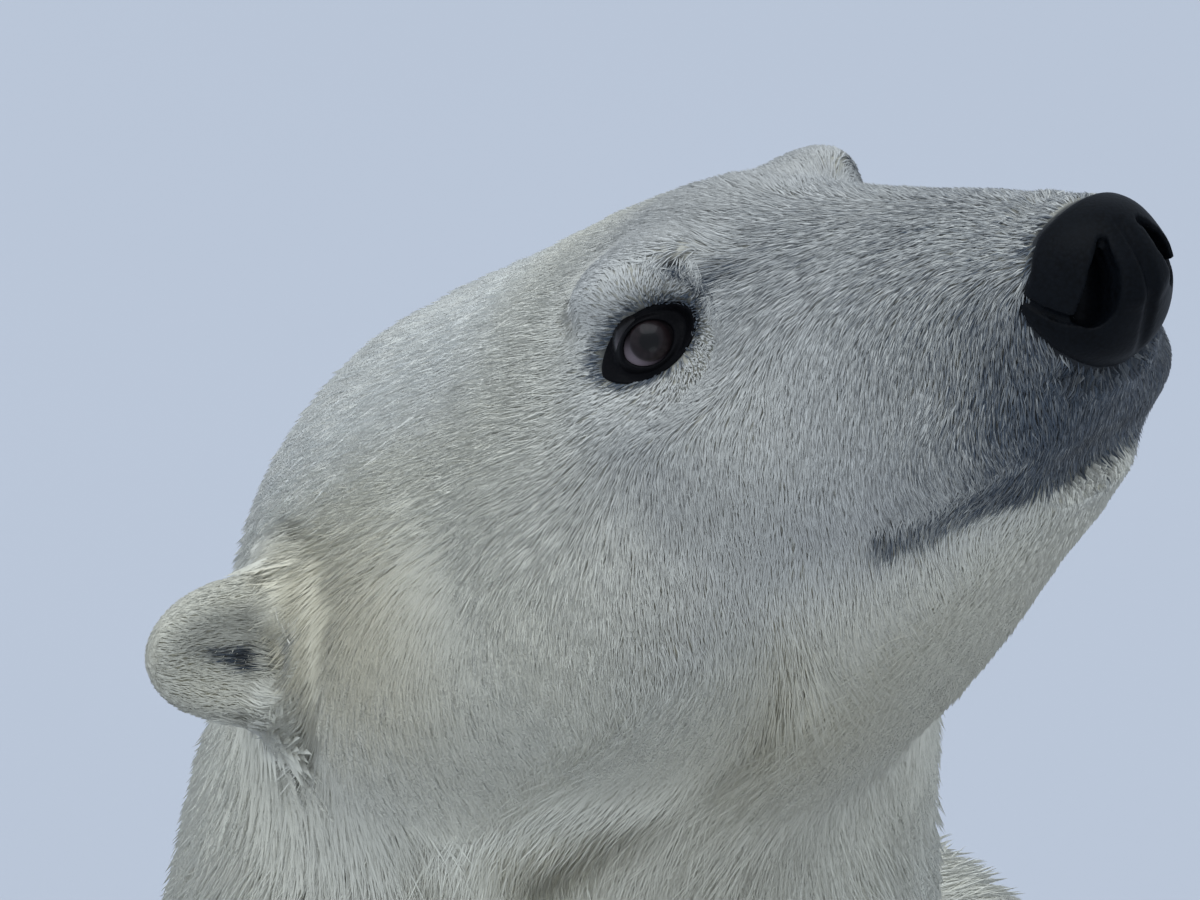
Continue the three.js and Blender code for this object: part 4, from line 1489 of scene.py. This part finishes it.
@dataclass(frozen=True)
class NosePad:
    """The bare nose pad, with two comma nostrils that run out into slits, in the head's axes and mm."""

    hide: Hide = Hide()
    low: tuple = (126.0, -34.0, -78.0)
    high: tuple = (180.0, 34.0, -8.0)
    cell: float = 0.9
    nostril: tuple = ((171, 8.0, -30.5), (169.5, 11.6, -38.0), (166, 15.6, -46.0))
    nostril_radii: tuple = (1.6, 4.2, 5.4)
    nostril_steps: tuple = (0.0, 5.0, 10.0, 15.0)  # depths at which the nostril is cut again
    slit: tuple = (
        (163.9, 14.2, -45.7),
        (158.6, 18.4, -47.2),
        (155.2, 21.9, -44.6),
        (151.0, 25.5, -38.4),
        (146.7, 25.7, -33.0),
    )
    slit_radii: tuple = (2.6, 1.7, 1.4, 1.2, 0.9)
    slit_steps: tuple = (0.0, 2.0)
    groove: tuple = (
        (168.8, 0, -27),
        (170.5, 0, -35),
        (170.4, 0, -42),
        (167.8, 0, -48.5),
        (160.8, 0, -55),
        (149, 0, -65),
    )
    groove_radii: tuple = (0.4, 1.0, 1.3, 1.5, 1.6, 1.6)
    inward: tuple = (-0.86, -0.1, 0.12)
    below_coat: float = 0.4
    front_inset: float = 1.8
    band_step: float = 1.2

    def height(self, h: Array) -> Array:
        """Signed distance to the pad.

        Args:
            h: points in the head's axes, with y folded to the left side.

        Returns:
            Signed distances.
        """
        line = np.array(self.slit)[::-1]
        below = np.interp(h[:, 0], line[:, 0], line[:, 2]) - h[:, 2]
        step = smoothstep(below, -0.5, 2.0) * (1 - smoothstep(h[:, 0], 162, 168))
        inset = self.front_inset * smoothstep(-h[:, 2], 20, 36) * smoothstep(h[:, 0], 148, 160)
        d = self.hide.bear.head(h) + self.below_coat + inset + self.band_step * step
        d = carve(d, -self.hide.off_pad(h), 3.5)
        cuts = (
            (self.nostril, self.nostril_radii, self.nostril_steps, 1.2),
            (self.slit, self.slit_radii, self.slit_steps, 0.8),
        )
        for line, radii, steps, edge in cuts:
            for deep in steps:
                d = carve(d, tube(h, np.array(line) + np.array(self.inward) * deep, radii), edge)
        return carve(d, tube(h, self.groove, self.groove_radii), 2.5)

    def build(self) -> bpy.types.Object:
        """Adds the pad.

        Returns:
            The object.
        """
        low, high = np.array(self.low), np.array(self.high)
        n = ((high - low) / self.cell).astype(int) + 1
        index = np.argwhere(np.ones(n, bool))

        def place(cells: Array) -> Array:
            """Points in the head's axes from cell numbers."""
            return low + cells * self.cell

        def height(h: Array) -> Array:
            """Signed distance to the pad, cut off flat at the back."""
            return np.maximum(self.height(fold(h)), self.low[0] + 2 - h[:, 0])

        grid = height(place(index)).reshape(n)
        points, quads = surface_net(grid, place, grid < 0)
        points = settle(points, height, 2)
        points = self.hide.bear.from_head(points)
        return add_mesh("nose_pad", points, outward(points, quads))


@dataclass(frozen=True)
class Claws:
    """Curved horn claws, five to a paw, in mm."""

    bear: Bear = Bear()
    length: float = 46.0
    drop: float = 26.0
    root: float = 6.5
    tip: float = 0.9
    rise: float = 0.38  # height of the root as a share of the paw's height
    rings: int = 18
    sides: int = 12

    def claw(self) -> tuple[Array, Array]:
        """One claw that points along -y, with its root at the origin.

        Returns:
            Points and faces.
        """
        turns = np.arange(self.sides) * 2 * math.pi / self.sides
        t, angle = np.meshgrid(np.linspace(0, 1, self.rings), turns, indexing="ij")
        radius = self.root + (self.tip - self.root) * t**1.3
        x = radius * 0.8 * np.cos(angle) * (1 - 0.25 * (np.sin(angle) < 0))
        y = -(self.length * t + radius * np.sin(angle) * 0.5 * t)
        z = radius * np.sin(angle) - self.drop * t * t
        points = np.stack([x, y, z], -1).reshape(-1, 3)
        n = self.sides
        quads = ring_quads(self.rings, n)
        tris = np.concatenate([quads[:, [0, 3, 2]], quads[:, [0, 2, 1]]])
        end = (self.rings - 1) * n
        fan = np.arange(1, n - 1)
        caps = [np.stack([0 * fan, fan + 1, fan], 1), np.stack([0 * fan + end, end + fan, end + fan + 1], 1)]
        return points, np.concatenate([tris, *caps])

    def build(self, limb: str, side: str) -> bpy.types.Object:
        """Adds the five claws of one paw as one piece.

        Args:
            limb: fore or hind.
            side: left or right.

        Returns:
            The object.
        """
        paw = self.bear.fore_paw if limb == "fore" else self.bear.hind_paw
        points, tris = self.claw()
        c, s = math.cos(math.radians(paw.turn)), math.sin(math.radians(paw.turn))
        turn = np.array([[c, s, 0], [-s, c, 0], [0, 0, 1]])
        middle = np.array(self.bear.at(paw.ahead, 0, paw.across))
        all_points, all_tris = [], []
        for number, toe in enumerate(paw.toes):
            ahead, across = paw.toe(toe)
            root = np.array([across, -(ahead + paw.inset), paw.height * self.rise])
            all_points.append((points + root) @ turn + middle)
            all_tris.append(tris + number * len(points))
        points, tris = np.concatenate(all_points), np.concatenate(all_tris)
        if side == "right":
            points[:, 0] *= -1
        return add_mesh(f"claws_{limb}_{side}", points, outward(points, tris))


# ---------------------------------------------------------------- finishes


def add_node(tree: bpy.types.NodeTree, kind: str, inputs: dict | None = None, **settings) -> bpy.types.Node:
    """Adds a node.

    Args:
        tree: the node tree.
        kind: the node's type name.
        inputs: values or output sockets for its inputs, by name or number.
        settings: values for the node's own properties.

    Returns:
        The node.
    """
    node = tree.nodes.new(kind)
    for name, value in settings.items():
        setattr(node, name, value)
    for name, value in (inputs or {}).items():
        if isinstance(value, bpy.types.NodeSocket):
            tree.links.new(value, node.inputs[name])
        else:
            node.inputs[name].default_value = value
    return node


def rgba(colour: Array) -> tuple:
    """A linear colour with full opacity."""
    return (*(float(c) for c in colour), 1.0)


def per_mm(size: float) -> float:
    """Scale of a pattern in object space, in metres, whose features are size mm across."""
    return 1.0 / (size * MM)


@dataclass(frozen=True)
class Finish:
    """A material with one Principled shader; each kind adds its own pattern."""

    name: str
    roughness: float
    ior: float = 1.5
    specular: float = 0.5
    sheen: float = 0.0
    gloss_coat: float = 0.0

    def start(self) -> tuple:
        """A new material with its tree and shader.

        Returns:
            The material, its node tree and its shader.
        """
        material = bpy.data.materials.new(self.name)
        material.use_nodes = True
        tree = material.node_tree
        shader = tree.nodes["Principled BSDF"]
        values = {
            "Roughness": self.roughness,
            "IOR": self.ior,
            "Specular IOR Level": self.specular,
            "Sheen Weight": self.sheen,
            "Sheen Roughness": 0.5,
            "Coat Weight": self.gloss_coat,
            "Coat Roughness": 0.04,
        }
        for name, value in values.items():
            shader.inputs[name].default_value = value
        return material, tree, shader

    def ramp(
        self,
        tree: bpy.types.NodeTree,
        shader: bpy.types.Node,
        pattern: bpy.types.NodeSocket,
        low: tuple,
        high: tuple,
    ) -> None:
        """Colours the shader by a pattern.

        Args:
            tree: the node tree.
            shader: the shader to colour.
            pattern: the values to colour by.
            low: a level and its sRGB colour.
            high: a higher level and its sRGB colour.
        """
        node = add_node(tree, "ShaderNodeValToRGB", {"Fac": pattern})
        for stop, (level, colour) in zip(node.color_ramp.elements, (low, high)):
            stop.position, stop.color = level, rgba(linear(colour))
        tree.links.new(node.outputs["Color"], shader.inputs["Base Color"])

    def bump(
        self,
        tree: bpy.types.NodeTree,
        shader: bpy.types.Node,
        height: bpy.types.NodeSocket,
        strength: float,
        depth: float,
    ) -> None:
        """Links a height pattern to the shader.

        Args:
            tree: the node tree.
            shader: the shader.
            height: the height pattern.
            strength: share of the effect.
            depth: height of the pattern in mm.
        """
        inputs = {"Height": height, "Strength": strength, "Distance": depth * MM}
        node = add_node(tree, "ShaderNodeBump", inputs)
        tree.links.new(node.outputs["Normal"], shader.inputs["Normal"])


@dataclass(frozen=True)
class Hair(Finish):
    """Hair or underfur whose colour is stored on the mesh, broken up by fine streaks."""

    streak: float = 1.2  # mm
    vary: float = 0.12
    relief: float = 0.3  # mm

    def make(self) -> bpy.types.Material:
        """Builds the material.

        Returns:
            The material.
        """
        material, tree, shader = self.start()
        place = add_node(tree, "ShaderNodeTexCoord").outputs["Object"]
        tone = add_node(tree, "ShaderNodeAttribute", attribute_name="tone").outputs["Color"]
        inputs = {"Vector": place, "Scale": per_mm(self.streak), "Detail": 3.0, "Roughness": 0.6}
        noise = add_node(tree, "ShaderNodeTexNoise", inputs).outputs["Fac"]
        inputs = {"Value": noise, "From Min": 0.3, "From Max": 0.7}
        inputs |= {"To Min": 1 - self.vary, "To Max": 1 + self.vary}
        gain = add_node(tree, "ShaderNodeMapRange", inputs).outputs["Result"]
        mixed = add_node(tree, "ShaderNodeVectorMath", {0: tone, 1: gain}, operation="MULTIPLY").outputs[0]
        tree.links.new(mixed, shader.inputs["Base Color"])
        self.bump(tree, shader, noise, 0.5, self.relief)
        return material


@dataclass(frozen=True)
class Leather(Finish):
    """Bare skin: pebbled cells with painted shade, a darker colour, in the creases between them."""

    colour: str = "#0a0d11"
    # painted shade: the darker colour in the creases between the pebbles
    crease: str = "#050608"
    pebble: float = 1.1  # mm
    relief: float = 0.12  # mm

    def make(self) -> bpy.types.Material:
        """Builds the material.

        Returns:
            The material.
        """
        material, tree, shader = self.start()
        place = add_node(tree, "ShaderNodeTexCoord").outputs["Object"]
        inputs = {"Vector": place, "Scale": per_mm(self.pebble)}
        cells = add_node(tree, "ShaderNodeTexVoronoi", inputs, feature="SMOOTH_F1").outputs["Distance"]
        inputs = {"Vector": place, "Scale": per_mm(9.0), "Detail": 4.0}
        cloud = add_node(tree, "ShaderNodeTexNoise", inputs).outputs["Fac"]
        inputs = {0: cells, 1: cloud}
        mixed = add_node(tree, "ShaderNodeMath", inputs, operation="MULTIPLY").outputs[0]
        self.ramp(tree, shader, mixed, (0.1, self.colour), (0.42, self.crease))
        inverse = add_node(tree, "ShaderNodeMath", {0: 1.0, 1: cells}, operation="SUBTRACT").outputs[0]
        self.bump(tree, shader, inverse, 0.6, self.relief)
        return material


@dataclass(frozen=True)
class Wet(Finish):
    """A wet eyeball whose colour is stored on the mesh."""

    def make(self) -> bpy.types.Material:
        """Builds the material.

        Returns:
            The material.
        """
        material, tree, shader = self.start()
        tone = add_node(tree, "ShaderNodeAttribute", attribute_name="tone").outputs["Color"]
        tree.links.new(tone, shader.inputs["Base Color"])
        return material


@dataclass(frozen=True)
class Horn(Finish):
    """Claw horn with growth lines along it."""

    colour: str = "#2a2622"
    worn: str = "#5a5145"
    line: float = 1.6  # mm
    stretch: tuple = (1.0, 0.12, 0.2)

    def make(self) -> bpy.types.Material:
        """Builds the material.

        Returns:
            The material.
        """
        material, tree, shader = self.start()
        place = add_node(tree, "ShaderNodeTexCoord").outputs["Object"]
        inputs = {"Vector": place, "Scale": self.stretch}
        stretched = add_node(tree, "ShaderNodeMapping", inputs).outputs["Vector"]
        inputs = {"Vector": stretched, "Scale": per_mm(self.line), "Detail": 4.0}
        noise = add_node(tree, "ShaderNodeTexNoise", inputs).outputs["Fac"]
        self.ramp(tree, shader, noise, (0.42, self.colour), (0.75, self.worn))
        self.bump(tree, shader, noise, 0.4, 0.15)
        return material


# ---------------------------------------------------------------- studio


@dataclass(frozen=True)
class Studio:
    """Pale floor, soft overcast light and the camera, in metres."""

    floor_size: float = 140.0
    floor_level: float = -0.5  # mm
    floor_colour: str = "#c0c3c9"
    floor_mottle: float = 625.0  # mm
    sky: tuple = (0.585, 0.665, 0.785)
    sky_strength: float = 1.05
    lamp_colour: tuple = (0.88, 0.94, 1.0)
    lamp_place: tuple = (-1.5, 0.5, 9.0)
    lamp_size: float = 9.0
    lamp_power: float = 410.0
    fill_place: tuple = (-3.4, -4.2, 1.7)
    fill_size: float = 2.5
    fill_power: float = 15.0
    target: tuple = (0.0, -0.2, 1.15)
    camera_place: tuple = (-1.1653, -1.5231, 2.5645)
    camera_right: tuple = (0.7252, -0.6886, 0.0)
    camera_up: tuple = (0.4075, 0.4292, 0.8061)
    lens: float = 197.86
    sensor: float = 36.0

    def build(self) -> None:
        """Adds the floor, the light and the camera."""
        scene = bpy.context.scene
        scene.view_settings.view_transform = "Standard"
        half = self.floor_size / 2 / MM
        low = self.floor_level
        square = np.array([[-half, -half, low], [half, -half, low], [half, half, low], [-half, half, low]])
        floor = add_mesh("studio_floor", square, np.array([[0, 1, 2, 3]]), smooth=False)
        floor.data.materials.append(self.floor_finish())
        world = bpy.data.worlds.new("overcast")
        world.use_nodes = True
        sky = world.node_tree.nodes["Background"]
        sky.inputs["Color"].default_value = rgba(np.array(self.sky))
        sky.inputs["Strength"].default_value = self.sky_strength
        scene.world = world
        self.add_softbox("softbox", self.lamp_place, self.lamp_size, self.lamp_power)
        self.add_softbox("fill", self.fill_place, self.fill_size, self.fill_power)
        self.add_camera(scene)

    def add_softbox(self, name: str, place: tuple, size: float, power: float) -> None:
        """Adds a round soft light, turned to the bear's neck and out of the camera's sight.

        Args:
            name: name of the light.
            place: where it hangs.
            size: its diameter.
            power: its power in watts.
        """
        lamp = bpy.data.lights.new(name, "AREA")
        lamp.shape, lamp.size, lamp.energy = "DISK", size, power
        lamp.color = self.lamp_colour
        softbox = bpy.data.objects.new(name, lamp)
        softbox.location = place
        softbox.rotation_euler = (Vector(self.target) - Vector(place)).to_track_quat("-Z", "Y").to_euler()
        softbox.visible_camera = False
        bpy.context.scene.collection.objects.link(softbox)

    def floor_finish(self) -> bpy.types.Material:
        """Matt white studio board, with the slightest mottle.

        Returns:
            The material.
        """
        material = bpy.data.materials.new("matt white studio board")
        material.use_nodes = True
        tree = material.node_tree
        shader = tree.nodes["Principled BSDF"]
        place = add_node(tree, "ShaderNodeTexCoord").outputs["Object"]
        inputs = {"Vector": place, "Scale": per_mm(self.floor_mottle), "Detail": 3.0}
        noise = add_node(tree, "ShaderNodeTexNoise", inputs).outputs["Fac"]
        colour = linear(self.floor_colour)
        # The colour sockets of a mix node share their names, so they go by number
        inputs = {0: noise, 6: rgba(colour * 0.97), 7: rgba(colour)}
        mixed = add_node(tree, "ShaderNodeMix", inputs, data_type="RGBA")
        tree.links.new(mixed.outputs[2], shader.inputs["Base Color"])
        shader.inputs["Roughness"].default_value = 0.9
        return material

    def add_camera(self, scene: bpy.types.Scene) -> None:
        """Adds the camera and makes it the scene's own.

        Args:
            scene: the scene.
        """
        data = bpy.data.cameras.new("camera")
        data.lens, data.sensor_width = self.lens, self.sensor
        data.clip_start, data.clip_end = 0.1, 500.0
        camera = bpy.data.objects.new("camera", data)
        right, up = Vector(self.camera_right), Vector(self.camera_up)
        back = right.cross(up)
        turn = Matrix((right, up, back)).transposed().to_4x4()
        camera.matrix_world = Matrix.Translation(self.camera_place) @ turn
        scene.collection.objects.link(camera)
        scene.camera = camera


# ---------------------------------------------------------------- assembly


FLESH = (
    "head lower_jaw ear_left ear_right neck chest abdomen rump tail "
    + " ".join(
        f"{part}_{side}"
        for part in ("forepaw", "forearm", "upper_foreleg", "hind_foot", "shank", "thigh")
        for side in ("left", "right")
    )
).split()


def dress(obj: bpy.types.Object, material: bpy.types.Material) -> None:
    """Gives a piece its finish and the body on which it rides.

    Args:
        obj: the piece.
        material: its finish.
    """
    obj.data.materials.append(material)
    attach(obj, "root")
    LOG.info("%s: %d faces", obj.name, len(obj.data.polygons))


def main() -> None:
    """Builds the bear round the frame."""
    logging.basicConfig(level=logging.INFO, format="%(name)s: %(message)s")
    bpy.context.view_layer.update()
    hide = Hide()
    skin = Skin(hide, Lattice())
    LOG.info("skin meshed: %d points", len(skin.points))
    # Dense matt underfur: hides the black skin, so the gaps between tufts stay pale
    underfur = Hair(
        "dense underfur on skin", roughness=0.95, sheen=0.1, streak=1.4, vary=0.1, relief=0.5
    ).make()
    body = skin.build()
    dress(body, underfur)
    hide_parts(*FLESH)
    # Guard hair: hollow and pale, so it scatters light and looks matt with a faint sheen
    guard_hair = Hair(
        "polar bear guard hair", roughness=0.75, sheen=0.15, streak=0.9, vary=0.03, relief=0.1
    ).make()
    for piece in Coat(hide).build(skin):
        dress(piece, guard_hair)
    # Bare nose leather: matt black pebbles with a soft cold shine on top
    leather = Leather("bare nose leather", roughness=0.5, specular=0.065).make()
    # Eyelid skin: smoother and damper than the nose, with fine creases
    lid_skin = Leather(
        "bare eyelid skin", roughness=0.45, specular=0.05, pebble=0.7, relief=0.06, colour="#0d0c0e"
    ).make()
    # Wet cornea: a clear film over a dark brown iris gives one sharp reflection
    cornea = Wet("wet cornea over brown iris", roughness=0.3, ior=1.38, specular=0.2, gloss_coat=0.14).make()
    pad = NosePad(hide).build()
    dress(pad, leather)
    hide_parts("nose")
    # Claw horn: dark keratin, scuffed paler along its growth lines
    horn = Horn("dark claw horn", roughness=0.5).make()
    for side in ("left", "right"):
        ball = Eye(hide).build(side)
        dress(ball, cornea)
        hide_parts(f"eye_{side}")
        dress(Lids(hide).build(side), lid_skin)
        for limb in ("fore", "hind"):
            claws = Claws(hide.bear).build(limb, side)
            dress(claws, horn)
            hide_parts(*(f"claw_{limb}_{n}_{side}" for n in range(1, 6)))
    Studio().build()


if __name__ == "__main__":
    main()
